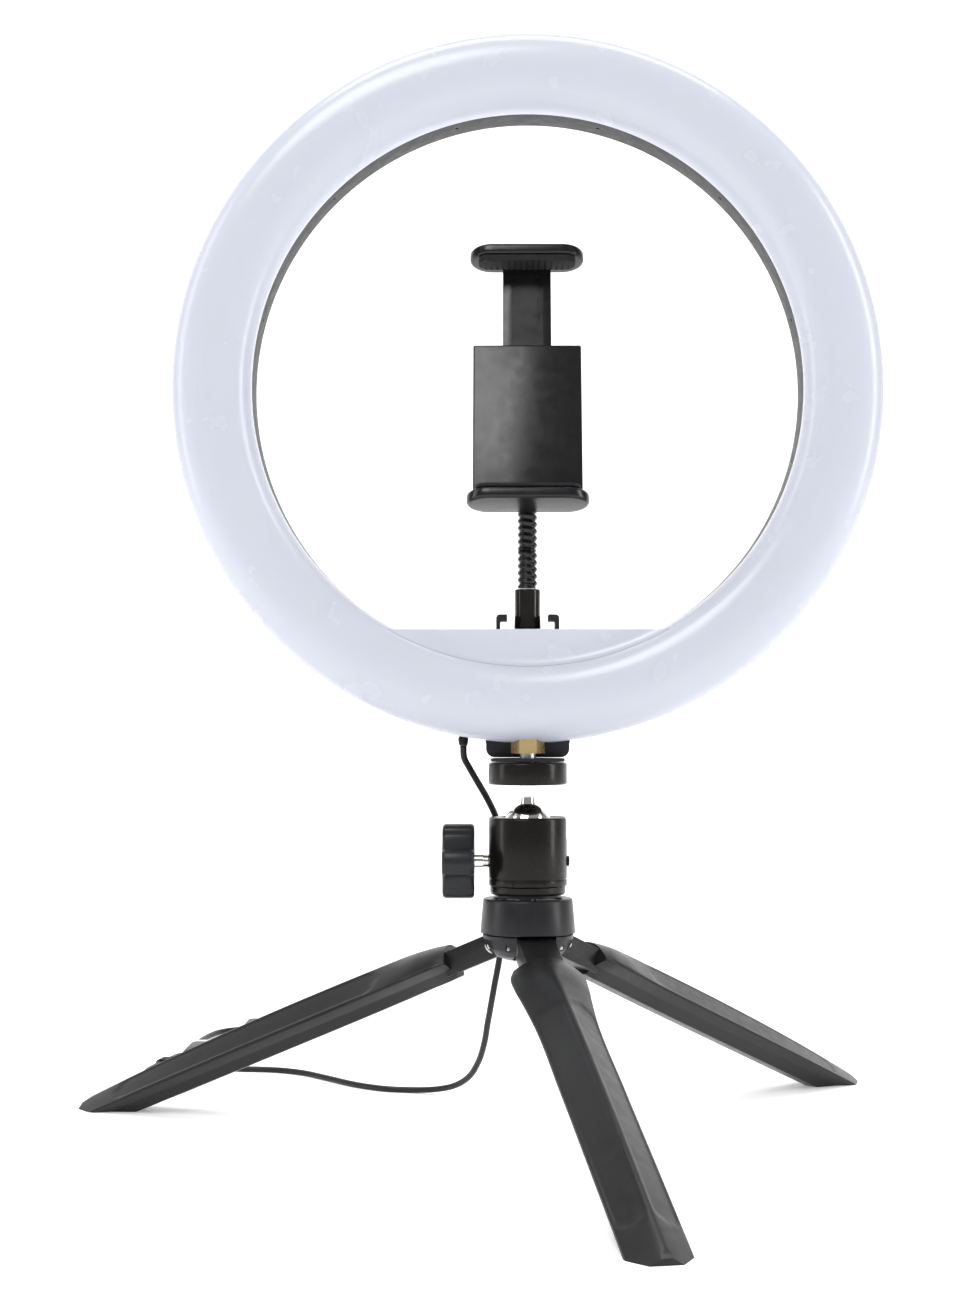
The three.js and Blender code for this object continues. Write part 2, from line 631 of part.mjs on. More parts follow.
const DROP_ROUTE = [
  [-23.6, 7, 141.2], [-23.3, 8, 137], [-21.3, 10.5, 133], [-18.2, 13.5, 127.5], [-14.8, 16, 121.5],
  [-11.8, 18, 115], [-9.8, 19.3, 107], [-8.8, 20, 98], [-8.4, 20.3, 88], [-8.6, 20.8, 78], [-9.4, 22, 69],
  [-10.6, 24.5, 60], [-12.2, 29, 51], [-13.6, 35, 42.5], [-14.9, 42, 34.5], [-16.2, 50, 26],
  [-18.5, 59, 17.5], [-22.4, 68, 10], [-28.6, 77, 4.8], [-37, 84, 2.1], [-47, 87.8, CORD_Z],
];
const FLOOR_ROUTE = [
  [-47.3, 87.9, CORD_Z], [-57, 90.5, CORD_Z], [-69, 99.5, CORD_Z], [-82, 115, CORD_Z], [-93, 127.5, CORD_Z],
  [-104, 134.5, CORD_Z], [-114, 137, CORD_Z], [-122, 138, CORD_Z], [-128.5, 142, CORD_Z], [-130.8, 149, CORD_Z],
  [-129, 157, 1.5], [-125, 164, 2.6], [-122.3, 169.5, 3.7], [-122, 174.7, 4],
];
const LOOP_ROUTE = [
  [-122, 235.3, 4], [-122.2, 240.5, 3.6], [-125, 247, 2.4], [-131.5, 251, 1.6], [-139, 249.5, CORD_Z],
  [-144, 243.5, CORD_Z], [-147.5, 232, CORD_Z], [-149.5, 215, CORD_Z], [-150.3, 195, CORD_Z],
  [-150.5, 175, CORD_Z], [-150.3, 155, CORD_Z], [-149, 142, CORD_Z], [-147.5, 131, CORD_Z],
];
const LEAD_ROUTE = [[-134.4, 133, 7.6], [-136.4, 139, 6.2], [-139.8, 144.6, 4.4], [-141, 149.7, 3.75]];

function addLead() {
  add(object, "cord_drop", swept(DROP_ROUTE, CORD_R, 28), "cord");
  add(object, "cord_floor", swept(FLOOR_ROUTE, CORD_R, 18), "cord");
  add(object, "cord_loop", swept(LOOP_ROUTE, CORD_R, 18), "cord");
  add(object, "cord_lead", swept(LEAD_ROUTE, CORD_R, 4), "cord");

  const outline = roundedBox(HANK.width, HANK.length, HANK.width / 2 - 0.01);
  const hank = slab(outline, 0, HANK.height, 6).rotateZ(radians(HANK.turn)).translate(HANK.x, HANK.y, 0);
  add(object, "cord_hank", hank, "cord");

  const plugBody = plate(roundedBox(PLUG.width, PLUG.height, 2), PLUG.y0, PLUG.y0 + PLUG.body, 3)
    .translate(PLUG.x, 0, PLUG.height / 2);
  add(object, "usb_overmould", plugBody, "cord");
  const shellY = PLUG.y0 + PLUG.body + FIT;
  const usbShell = carve(
    [box([-6, shellY, 1.5], [6, shellY + PLUG.shell, 6])],
    [box([-5.6, shellY + 2, 3.9], [5.6, shellY + PLUG.shell + 1, 5.6])],
  );
  add(object, "usb_shell", usbShell.translate(PLUG.x, 0, 0), "steel");
}

function addController() {
  const { x, y0, y1, width, height } = CONTROL;
  const unit = group(object, [x, 0, 0]);
  const w = width / 2;
  const split = 4.8;
  const outline = () => roundedBox(width, y1 - y0, 3);
  const middle = (y0 + y1) / 2;
  const shellGeometry = carve(
    [slab(outline(), 0, split - FIT, 3).translate(0, middle, 0)],
    [
      box([-w + 1.4, y0 + 2, 1.4], [w - 1.4, y1 - 2, split]),
      rodY(CORD_R + 0.2, y0 - 1, y0 + 3, 0, 4, 10),
      rodY(CORD_R + 0.2, y1 - 3, y1 + 1, 0, 4, 10),
    ],
  );
  add(unit, "control_shell", shellGeometry, "shell");
  add(unit, "control_board", box([-w + 1.8, y0 + 5, 1.8], [w - 1.8, y1 - 5, 3.2]), "greenBoard");

  const buttons = { button_dimmer: -14, button_power: 0, button_brighter: 14 };
  const places = Object.values(buttons).map((dy) => middle + dy);
  const cover = carve(
    [slab(outline(), split, height, 3).translate(0, middle, 0)],
    [
      box([-w + 1.4, y0 + 2, split - 1], [w - 1.4, y1 - 2, height - 1.4]),
      ...places.map((y) => rod(3.4, split, height + 1, 16).translate(0, y, 0)),
    ],
  );
  add(unit, "control_cover", cover, "shell");
  Object.keys(buttons).forEach((name, i) => {
    const cap = carve([
      rod(3.1, 5.2, height + 0.7, 16).translate(0, places[i], 0),
      rod(4.2, 5.2, 6.2, 16).translate(0, places[i], 0),
    ]);
    add(unit, name, cap, "rubber");
  });
}

addTripod();
addBallHead();
addBallAndPlatform();
addDiffuser();
addRearShell();
addRingParts();
addNeck();
addClamp();
addLead();
addController();
object.position.set(HUB.x, HUB.y, 0);

export default object;
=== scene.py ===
"""The looks of a 26 cm ring light on a folding mini tripod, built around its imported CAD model.

Lengths are in millimetres about the tripod hub's own axis, as the CAD is drawn; place() puts them in
the row frame in metres. The lamp faces -Y.
"""
import math

import bmesh
import bpy
import numpy as np
from mathutils import Matrix, Vector


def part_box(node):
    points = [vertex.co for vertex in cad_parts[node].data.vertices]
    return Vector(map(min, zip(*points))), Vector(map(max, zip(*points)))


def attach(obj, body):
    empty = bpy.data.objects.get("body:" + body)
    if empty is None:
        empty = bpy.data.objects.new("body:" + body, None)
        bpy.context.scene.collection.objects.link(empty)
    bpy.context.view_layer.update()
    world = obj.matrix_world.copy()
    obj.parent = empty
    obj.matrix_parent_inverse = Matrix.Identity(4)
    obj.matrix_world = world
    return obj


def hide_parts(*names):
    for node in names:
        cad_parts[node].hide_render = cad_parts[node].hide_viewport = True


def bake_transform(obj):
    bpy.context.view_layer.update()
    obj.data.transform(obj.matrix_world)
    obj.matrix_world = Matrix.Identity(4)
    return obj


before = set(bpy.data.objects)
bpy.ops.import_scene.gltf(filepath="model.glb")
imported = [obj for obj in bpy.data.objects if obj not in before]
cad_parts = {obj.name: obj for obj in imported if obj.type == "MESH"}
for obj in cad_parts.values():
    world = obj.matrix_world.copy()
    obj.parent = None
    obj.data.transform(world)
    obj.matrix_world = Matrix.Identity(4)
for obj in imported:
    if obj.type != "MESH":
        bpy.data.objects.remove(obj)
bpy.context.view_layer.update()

MM = 0.001
FIT = 0.3  # gap between two pieces that touch
RING_Z = 272.5  # the lamp's centre
RING_OUTER, RING_INNER = 130, 101
CORD_R = 1.2
CORD_Z = 1.25

collar_low, collar_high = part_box("hub_collar")
HUB = Vector(((collar_low.x + collar_high.x) / 2, (collar_low.y + collar_high.y) / 2, 0))


def place(point):
    """A point in millimetres about the hub axis, in the row frame in metres."""
    return HUB + MM * Vector(point)


# ---------------------------------------------------------------- camera, floor and light

CAMERA_AT = (-9.9, -760.0, 151.7)
CAMERA_PITCH = 1.76  # degrees above the horizon
CAMERA_YAW = 0.29  # degrees turned to the left
CAMERA_LENS = 57.43  # on a 36 mm sensor along the picture's long side


def add_camera():
    data = bpy.data.cameras.new("camera")
    data.sensor_width = 36
    data.lens = CAMERA_LENS
    data.clip_start, data.clip_end = 0.01, 50
    camera = bpy.data.objects.new("camera", data)
    bpy.context.scene.collection.objects.link(camera)
    camera.location = place(CAMERA_AT)
    camera.rotation_euler = (math.radians(90 + CAMERA_PITCH), 0, math.radians(CAMERA_YAW))
    bpy.context.scene.camera = camera


def add_floor():
    """A pale table that curves up into a backdrop, as one smooth sheet."""
    radius, front, back, half_width, top = 1.6, -2.5, 0.9, 4.0, 3.5
    steps = 24
    profile = [(front, 0), (back, 0)]
    for i in range(1, steps + 1):
        a = math.pi / 2 * i / steps
        profile.append((back + radius * math.sin(a), radius * (1 - math.cos(a))))
    profile.append((back + radius, top))
    verts = [(s * half_width, y, z) for y, z in profile for s in (-1, 1)]
    faces = [(2 * i, 2 * i + 1, 2 * i + 3, 2 * i + 2) for i in range(len(profile) - 1)]
    mesh = bpy.data.meshes.new("floor")
    mesh.from_pydata(verts, [], faces)
    mesh.polygons.foreach_set("use_smooth", [True] * len(faces))
    floor = bpy.data.objects.new("floor", mesh)
    bpy.context.scene.collection.objects.link(floor)
    made = bpy.data.materials.new("studio_floor")
    made.use_nodes = True
    shader = made.node_tree.nodes["Principled BSDF"]
    shader.inputs["Base Color"].default_value = (0.95, 0.95, 0.955, 1)
    shader.inputs["Emission Color"].default_value = (1, 1, 1, 1)
    shader.inputs["Emission Strength"].default_value = 0.25
    shader.inputs["Roughness"].default_value = 0.9
    shader.inputs["Specular IOR Level"].default_value = 0.1
    mesh.materials.append(made)


def area_light(name, at, target, width, height, watts):
    data = bpy.data.lights.new(name, "AREA")
    data.shape = "RECTANGLE"
    data.size, data.size_y = width, height
    data.energy = watts
    light = bpy.data.objects.new(name, data)
    bpy.context.scene.collection.objects.link(light)
    light.location = at
    light.rotation_euler = (Vector(target) - Vector(at)).to_track_quat("-Z", "Y").to_euler()


def add_lights():
    world = bpy.data.worlds.new("studio")
    bpy.context.scene.world = world
    world.use_nodes = True
    background = world.node_tree.nodes["Background"]
    background.inputs["Color"].default_value = (1, 1, 1, 1)
    background.inputs["Strength"].default_value = 0.3
    middle = (0, 0, 0.2)
    area_light("key", (-0.7, -1.5, 2.1), middle, 1.4, 1.0, 34)
    area_light("strip_right", (1.5, -0.3, 0.55), (0, 0, 0.25), 0.35, 1.7, 13)
    area_light("strip_left", (-1.5, -0.15, 0.55), (0, 0, 0.25), 0.35, 1.7, 7)
    area_light("backdrop", (0, 0.5, 3.0), (0, 1.8, 0.4), 3.0, 1.0, 60)
    bpy.context.scene.view_settings.view_transform = "Standard"


# ---------------------------------------------------------------- materials


def material(
    name, colour, roughness, metallic=0.0, vary=0.06, vary_scale=60, rough_vary=0.05,
    grain=0.12, grain_scale=2600, stretch=(1, 1, 1), coat=0.0, coat_roughness=0.1,
    subsurface=0.0, specular=0.5,
):
    """A moulded, painted or plated surface: cloudy colour and gloss, and a fine grain in its relief.
    Scales are in waves per metre; stretch draws the grain out into brushed lines."""
    made = bpy.data.materials.new(name)
    made.use_nodes = True
    tree = made.node_tree
    shader = tree.nodes["Principled BSDF"]
    where = tree.nodes.new("ShaderNodeTexCoord")

    def noise_at(scale, detail, drawn=(1, 1, 1)):
        mapping = tree.nodes.new("ShaderNodeMapping")
        mapping.inputs["Scale"].default_value = drawn
        tree.links.new(where.outputs["Object"], mapping.inputs["Vector"])
        cloud = tree.nodes.new("ShaderNodeTexNoise")
        cloud.inputs["Scale"].default_value = scale
        cloud.inputs["Detail"].default_value = detail
        tree.links.new(mapping.outputs["Vector"], cloud.inputs["Vector"])
        return cloud.outputs["Fac"]

    cloudy = noise_at(vary_scale, 4)
    tint = tree.nodes.new("ShaderNodeMix")
    tint.data_type = "RGBA"
    tint.inputs["A"].default_value = (*[c * (1 - vary) for c in colour], 1)
    tint.inputs["B"].default_value = (*[min(1, c * (1 + vary)) for c in colour], 1)
    tree.links.new(cloudy, tint.inputs["Factor"])
    tree.links.new(tint.outputs["Result"], shader.inputs["Base Color"])

    gloss = tree.nodes.new("ShaderNodeMapRange")
    gloss.inputs["From Min"].default_value = 0.3
    gloss.inputs["From Max"].default_value = 0.7
    gloss.inputs["To Min"].default_value = max(0.02, roughness - rough_vary)
    gloss.inputs["To Max"].default_value = roughness + rough_vary
    tree.links.new(noise_at(vary_scale * 4, 3), gloss.inputs["Value"])
    tree.links.new(gloss.outputs["Result"], shader.inputs["Roughness"])

    bump = tree.nodes.new("ShaderNodeBump")
    bump.inputs["Strength"].default_value = grain
    bump.inputs["Distance"].default_value = 0.0002
    tree.links.new(noise_at(grain_scale, 5, stretch), bump.inputs["Height"])
    tree.links.new(bump.outputs["Normal"], shader.inputs["Normal"])

    shader.inputs["Metallic"].default_value = metallic
    shader.inputs["Specular IOR Level"].default_value = specular
    shader.inputs["Coat Weight"].default_value = coat
    shader.inputs["Coat Roughness"].default_value = coat_roughness
    if subsurface:
        shader.inputs["Subsurface Weight"].default_value = subsurface
        shader.inputs["Subsurface Radius"].default_value = (0.004, 0.004, 0.005)
        shader.inputs["Subsurface Scale"].default_value = 1.0
    return made


MATERIALS = {
    "milky": material("milky_diffuser", (0.56, 0.585, 0.66), 0.26, vary=0.015, vary_scale=18,
                      rough_vary=0.02, grain=0.0, subsurface=0.12),
    "shell": material("black_shell", (0.014, 0.014, 0.016), 0.45, grain=0.3, grain_scale=3200, specular=0.25),
    "legs": material("leg_plastic", (0.012, 0.012, 0.013), 0.34, grain=0.18, grain_scale=2400, specular=0.3),
    "hub": material("hub_plastic", (0.013, 0.013, 0.015), 0.33, grain=0.15, grain_scale=2600, specular=0.3),
    "clamp": material("clamp_plastic", (0.009, 0.009, 0.010), 0.22, grain=0.06, grain_scale=1800,
                      specular=0.35),
    "knob": material("knob_plastic", (0.015, 0.016, 0.018), 0.34, grain=0.2, grain_scale=2200, specular=0.3),
    "anodised": material("black_anodised", (0.010, 0.009, 0.008), 0.3, metallic=0.4, vary=0.15, grain=0.1,
                         grain_scale=1800, stretch=(1, 1, 6), coat=0.15, specular=0.2),
    "glossy": material("glossy_vinyl", (0.008, 0.007, 0.006), 0.2, vary=0.15, grain=0.04, grain_scale=900,
                       coat=0.2, specular=0.3),
    "chrome": material("polished_chrome", (0.80, 0.78, 0.75), 0.09, metallic=1, vary=0.03, rough_vary=0.03,
                       grain=0.03, grain_scale=700),
    "steel": material("plated_steel", (0.55, 0.55, 0.56), 0.28, metallic=1, vary=0.08, grain=0.15,
                      grain_scale=1500, stretch=(1, 1, 4)),
    "brass": material("machined_brass", (0.62, 0.47, 0.22), 0.3, metallic=1, grain=0.15),
    "rubber": material("black_rubber", (0.012, 0.012, 0.013), 0.7, vary=0.15, grain=0.4, grain_scale=1800,
                       specular=0.25),
    "cord": material("cord_jacket", (0.010, 0.010, 0.011), 0.42, vary=0.1, grain=0.2, grain_scale=1600,
                     specular=0.3),
    "red": material("red_sleeve", (0.16, 0.035, 0.04), 0.4, vary=0.2, grain=0.1),
    "board": material("white_solder_mask", (0.80, 0.82, 0.80), 0.5, grain=0.1),
    "green": material("green_board", (0.03, 0.16, 0.07), 0.4, vary=0.2, vary_scale=400, grain=0.2),
}


# ---------------------------------------------------------------- mesh helpers


def new_piece(name, verts, faces, body, look, replaces=(), sharp=40):
    """A piece from points in millimetres about the hub axis, riding on its body."""
    made = loose(name, verts, faces)
    return dress(made, body, look, replaces, sharp)


def loose(name, verts, faces):
    mesh = bpy.data.meshes.new(name)
    mesh.from_pydata([place(v) for v in verts], [], faces)
    mesh.validate()
    made = bpy.data.objects.new(name, mesh)
    bpy.context.scene.collection.objects.link(made)
    return made


def dress(made, body, look, replaces=(), sharp=40):
    mesh = made.data
    mesh.materials.clear()
    mesh.materials.append(MATERIALS[look])
    mesh.polygons.foreach_set("use_smooth", [True] * len(mesh.polygons))
    mesh.set_sharp_from_angle(angle=math.radians(sharp))
    if body:
        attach(made, body)
    if replaces:
        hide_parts(*replaces)
    return made


def outward(made):
    """Turns every face of a closed mesh outward."""
    work = bmesh.new()
    work.from_mesh(made.data)
    bmesh.ops.remove_doubles(work, verts=work.verts, dist=1e-7)
    bmesh.ops.recalc_face_normals(work, faces=work.faces)
    work.to_mesh(made.data)
    work.free()
    return made


def apply_modifiers(made):
    graph = bpy.context.evaluated_depsgraph_get()
    mesh = bpy.data.meshes.new_from_object(made.evaluated_get(graph))
    made.modifiers.clear()
    old, made.data = made.data, mesh
    bpy.data.meshes.remove(old)
    mesh.name = made.name
    return made


def boolean(made, others, operation):
    for other in others:
        modifier = made.modifiers.new("boolean", "BOOLEAN")
        modifier.operation = operation
        modifier.object = other
        modifier.solver = "EXACT"
    apply_modifiers(made)
    for other in others:
        bpy.data.objects.remove(other)
    return made


def bevelled(made, width, segments=3, angle=30):
    """Rounds every edge that turns by more than the angle; width in millimetres."""
    modifier = made.modifiers.new("bevel", "BEVEL")
    modifier.width = width * MM
    modifier.segments = segments
    modifier.limit_method = "ANGLE"
    modifier.angle_limit = math.radians(angle)
    modifier.use_clamp_overlap = True
    return apply_modifiers(made)


def rounded(points, closed=True, steps=5):
    """An outline with its corners turned into arcs: each point is (x, y) or (x, y, radius)."""
    made = []
    count = len(points)
    for i, point in enumerate(points):
        here = Vector(point[:2])
        radius = point[2] if len(point) > 2 else 0
        inner = closed or 0 < i < count - 1
        if not radius or not inner:
            made.append(tuple(here))
            continue
        before = (Vector(points[i - 1][:2]) - here).normalized()
        after = (Vector(points[(i + 1) % count][:2]) - here).normalized()
        half = before.angle(after) / 2
        reach = radius / math.tan(half)
        centre = here + (before + after).normalized() * (radius / math.sin(half))
        first, last = here + before * reach - centre, here + after * reach - centre
        sweep = first.angle_signed(last)
        for k in range(steps + 1):
            a = -sweep * k / steps
            c, s = math.cos(a), math.sin(a)
            made.append((centre.x + c * first.x - s * first.y, centre.y + s * first.x + c * first.y))
    return made


def as_drawn(x, y, z):
    return (x, y, z)


def lathe(profile, steps=96, turn=as_drawn):
    """A profile of (radius, height) pairs turned about Z: closed on itself, or open with both ends on
    the axis. turn() then moves each point."""
    verts, faces, rings = [], [], []
    for r, z in profile:
        if abs(r) < 1e-6:
            rings.append([len(verts)])
            verts.append(turn(0, 0, z))
        else:
            rings.append([len(verts) + k for k in range(steps)])
            for k in range(steps):
                a = 2 * math.pi * k / steps
                verts.append(turn(r * math.cos(a), r * math.sin(a), z))
    open_ended = len(rings[0]) == 1
    pairs = list(zip(rings, rings[1:])) + ([] if open_ended else [(rings[-1], rings[0])])
    for a, b in pairs:
        for k in range(steps):
            n = (k + 1) % steps
            corners = [a[k % len(a)], a[n % len(a)], b[n % len(b)], b[k % len(b)]]
            face = list(dict.fromkeys(corners))
            if len(face) > 2:
                faces.append(face)
    return verts, faces


def cylinder(r, z0, z1, steps=32, turn=as_drawn):
    return lathe([(0, z0), (r, z0), (r, z1), (0, z1)], steps, turn)


def hexagon(r):
    return [(r * math.cos(math.pi * i / 3), r * math.sin(math.pi * i / 3)) for i in range(6)]


def about_y(x, y, z):
    """Turns a lathe's own axis onto Y, about the lamp's centre: its height becomes depth."""
    return (x, z, RING_Z + y)


def about_x(z0):
    return lambda x, y, z: (z, x, z0 + y)


def shifted(dx, dy, dz=0):
    return lambda x, y, z: (x + dx, y + dy, z + dz)


def prism(outline, low, high, turn=as_drawn):
    """A flat outline drawn out along its third axis."""
    n = len(outline)
    verts = [turn(x, y, low) for x, y in outline] + [turn(x, y, high) for x, y in outline]
    faces = [tuple(range(n))[::-1], tuple(range(n, 2 * n))]
    faces += [(k, (k + 1) % n, n + (k + 1) % n, n + k) for k in range(n)]
    return verts, faces


def upright(x, y, z):
    """An outline drawn in X and Z, drawn out along Y."""
    return (x, z, y)


def block(low, high, turn=as_drawn):
    (x0, y0, z0), (x1, y1, z1) = low, high
    return prism([(x0, y0), (x1, y0), (x1, y1), (x0, y1)], z0, z1, turn)


def round_rect(width, height, radius, steps=6):
    w, h = width / 2, height / 2
    return rounded([(-w, -h, radius), (w, -h, radius), (w, h, radius), (-w, h, radius)], steps=steps)


def solid(name, shape):
    return outward(loose(name, *shape))


def cut_from(made, shapes):
    return boolean(made, [solid("cut", shape) for shape in shapes], "DIFFERENCE")


def smooth_curve(points, spacing=0.8):
    """A centripetal Catmull-Rom curve through the points, sampled about every spacing millimetres."""
    p = [Vector(v) for v in points]
    p = [2 * p[0] - p[1], *p, 2 * p[-1] - p[-2]]
    made = []
    for a, b, c, d in zip(p, p[1:], p[2:], p[3:]):
        da, db, dc = ((v - u).length ** 0.5 for u, v in ((a, b), (b, c), (c, d)))
        start = ((b - a) / da - (c - a) / (da + db) + (c - b) / db) * db
        end = ((c - b) / db - (d - b) / (db + dc) + (d - c) / dc) * db
        steps = max(2, round((c - b).length / spacing))
        for i in range(steps):
            t = i / steps
            weights = (2 * t**3 - 3 * t**2 + 1, t**3 - 2 * t**2 + t, 3 * t**2 - 2 * t**3, t**3 - t**2)
            made.append(weights[0] * b + weights[1] * start + weights[2] * c + weights[3] * end)
    made.append(p[-2])
    return made


def tube(points, radius, sides=16):
    """A closed tube along a line. radius is a number, or a function of distance along and angle."""
    points = [Vector(p) for p in points]
    verts, faces = [], []
    tangent = (points[1] - points[0]).normalized()
    normal = Vector((0, 1, 0)) if abs(tangent.y) < 0.9 else Vector((1, 0, 0))
    along = 0.0
    for i, point in enumerate(points):
        ahead = (points[min(i + 1, len(points) - 1)] - points[max(i - 1, 0)]).normalized()
        normal = tangent.rotation_difference(ahead) @ normal
        normal = (normal - normal.dot(ahead) * ahead).normalized()
        tangent = ahead
        side = tangent.cross(normal)
        along += (point - points[i - 1]).length if i else 0
        for k in range(sides):
            a = 2 * math.pi * k / sides
            r = radius(along, a) if callable(radius) else radius
            verts.append(point + r * (math.cos(a) * normal + math.sin(a) * side))
    for i in range(len(points) - 1):
        for k in range(sides):
            a, b = i * sides + k, i * sides + (k + 1) % sides
            faces.append((a, b, b + sides, a + sides))
    last = (len(points) - 1) * sides
    faces.append(tuple(range(sides))[::-1])
    faces.append(tuple(range(last, last + sides)))
    return verts, faces


# ---------------------------------------------------------------- the lead

LEAD_EXIT = (-23.6, 7)
DROP_ROUTE = [
    (-23.6, 7, 141.2), (-23.3, 8, 137), (-21.3, 10.5, 133), (-18.2, 13.5, 127.5), (-14.8, 16, 121.5),
    (-11.8, 18, 115), (-9.8, 19.3, 107), (-8.8, 20, 98), (-8.4, 20.3, 88), (-8.6, 20.8, 78),
    (-9.4, 22, 69), (-10.6, 24.5, 60), (-12.2, 29, 51), (-13.6, 35, 42.5), (-14.9, 42, 34.5),
    (-16.2, 50, 26), (-18.5, 59, 17.5), (-22.4, 68, 10), (-28.6, 77, 4.8), (-37, 84, 2.1),
]
FLOOR_ROUTE = [
    (-47.15, 87.85, CORD_Z), (-57, 90.5, CORD_Z), (-69, 99.5, CORD_Z), (-82, 115, CORD_Z),
    (-93, 127.5, CORD_Z), (-104, 134.5, CORD_Z), (-114, 137, CORD_Z), (-122, 138, CORD_Z),
    (-128.5, 142, CORD_Z), (-130.8, 149, CORD_Z), (-129, 157, 1.5), (-125, 164, 2.6),
    (-122.3, 169.5, 3.7), (-122, 176.5, 4),
]
LOOP_ROUTE = [
    (-122, 233.5, 4), (-122.2, 240.5, 3.6), (-125, 247, 2.4), (-131.5, 251, 1.6), (-139, 249.5, CORD_Z),
    (-144, 243.5, CORD_Z), (-147.5, 232, CORD_Z), (-149.5, 215, CORD_Z), (-150.3, 195, CORD_Z),
    (-150.5, 175, CORD_Z), (-150.3, 155, CORD_Z), (-149, 142, CORD_Z), (-147.5, 131, CORD_Z),
]
LEAD_ROUTE = [(-134.4, 133, 7.6), (-136.4, 139, 6.2), (-139.8, 144.6, 4.4), (-141, 151.5, 3.75)]
STRETCH_ENDS = [127.5, 120.5, 113.5, 74.0]  # heights where the falling lead passes to the next joint

HANK = {"x": -142.8, "y": 107.0, "length": 50.8, "width": 17.0, "turn": -10.2}
HANK_TURNS = [(0, 0), (0, 1), (1, 1), (1, 0), (2, 0), (2, 1), (3, 1), (3, 0)]  # layer, lane inward
TIE_LIFT = 0.65  # the tie's thickness under the hank


def in_hank(along, across, height):
    """A point of the hank: along its length, across to the right, and up."""
    a = math.radians(HANK["turn"])
    direction = Vector((-math.sin(a), math.cos(a), 0))
    right = Vector((math.cos(a), math.sin(a), 0))
    middle = Vector((HANK["x"], HANK["y"], 0))
    return middle + along * direction + across * right + Vector((0, 0, height))


def hank_route():
    """Flat turns laid beside and on each other, from the far left end round and round."""
    pitch = 2 * CORD_R + 0.01
    reach = (HANK["length"] - HANK["width"]) / 2
    route = []
    for i, (layer, lane) in enumerate(HANK_TURNS):
        radius = HANK["width"] / 2 - CORD_R - lane * pitch
        height = CORD_Z + layer * pitch
        last = i == len(HANK_TURNS) - 1
        next_layer, next_lane = (layer, lane) if last else HANK_TURNS[i + 1]
        steps = 14
        line = [(reach - 2 * reach * k / steps, -radius) for k in range(steps)]
        arc = [math.pi * k / steps for k in range(steps)]
        line += [(-reach - radius * math.sin(a), -radius * math.cos(a)) for a in arc]
        line += [(-reach + 2 * reach * k / steps, radius) for k in range(steps)]
        for along, across in line:
            lift = TIE_LIFT * math.exp(-((along / 7) ** 2))
            route.append(in_hank(along, across, height + lift))
        if last:
            route.append(in_hank(reach, radius, height))
            continue
        for k, a in enumerate(arc):
            share = (1 - math.cos(math.pi * k / steps)) / 2
            r = radius + share * (lane - next_lane) * pitch
            rise = share * (next_layer - layer) * pitch
            route.append(in_hank(reach + r * math.sin(a), r * math.cos(a), height + rise))
    return route


def cord_piece(name, points, replaces=(), body=None, sides=16):
    verts, faces = tube(points, CORD_R, sides)
    return new_piece(name, verts, faces, body, "cord", replaces, sharp=60)


def add_lead():
    falling = smooth_curve(DROP_ROUTE + FLOOR_ROUTE)
    stretches, current, heights = [], [], list(STRETCH_ENDS)
    for point in falling:
        current.append(point)
        if heights and point.z <= heights[0]:
            stretches.append(current)
            current = [point]
            heights.pop(0)
    stretches.append(current)
    pairs = [("ring", "platform", 140, 128.5), ("platform", "ball", 127, 121), ("ball", "head", 120, 114),
             ("head", "hub", 88, 75)]
    made = []
    for i, (upper, lower, start, end) in enumerate(pairs):
        piece = cord_piece(f"lead_drop_{i + 1}", stretches[i])
        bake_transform(piece)
        made.append(piece)
    floor_line = stretches[-1]
    to_controller = cord_piece("lead_to_controller", floor_line, ("cord_drop", "cord_floor"), "hub")
    folded = smooth_curve(LOOP_ROUTE) + smooth_curve(hank_route(), 1.2) + smooth_curve(LEAD_ROUTE)
    replaced = ("cord_loop", "cord_hank", "cord_lead")
    to_plug = cord_piece("lead_to_plug", folded, replaced, "hub", sides=12)
    return made, stretches, to_controller, to_plug, folded


# ---------------------------------------------------------------- tripod

LEG_AZIMUTHS = {"leg_front": -78.5, "leg_right": 41.5, "leg_left": 161.5}
LEG_SLOPE = math.radians(23.3)
LEG_PIVOT_R, LEG_PIVOT_Z = 11, 69.5
LEG_REACH = 181.5
LUG_HALF, LUG_R, LUG_REACH = 6.8, 4.4, 21
WASHER_R, WASHER_THICK = 3.1, 0.22
BAR_START, BAR_END, BAR_STEP = 18.5, 203, 1.5
# distance along the leg, half width, crown, side edge and underside heights, and how ridged it is
LEG_SECTIONS = [
    (18.5, 11.8, 6.5, 0.9, -5.9, 0), (22, 13.2, 7.2, 0.9, -6.1, 0), (30, 13.4, 8.2, 0.9, -6.1, 0.1),
    (38, 12.6, 8.6, 0.9, -6.2, 0.55), (50, 11.5, 8.8, 0.9, -6.3, 1), (95, 10.8, 9.0, 0.9, -6.3, 1),
    (145, 10.6, 8.0, 0.8, -6.1, 1), (205, 10.4, 4.9, 0.2, -5.6, 1),
]
UNDERSIDE_HALF = 3.4
PANEL_START, PANEL_END, PANEL_DEPTH = 48, 166, 0.4
PIN_BORE_R = 1.8


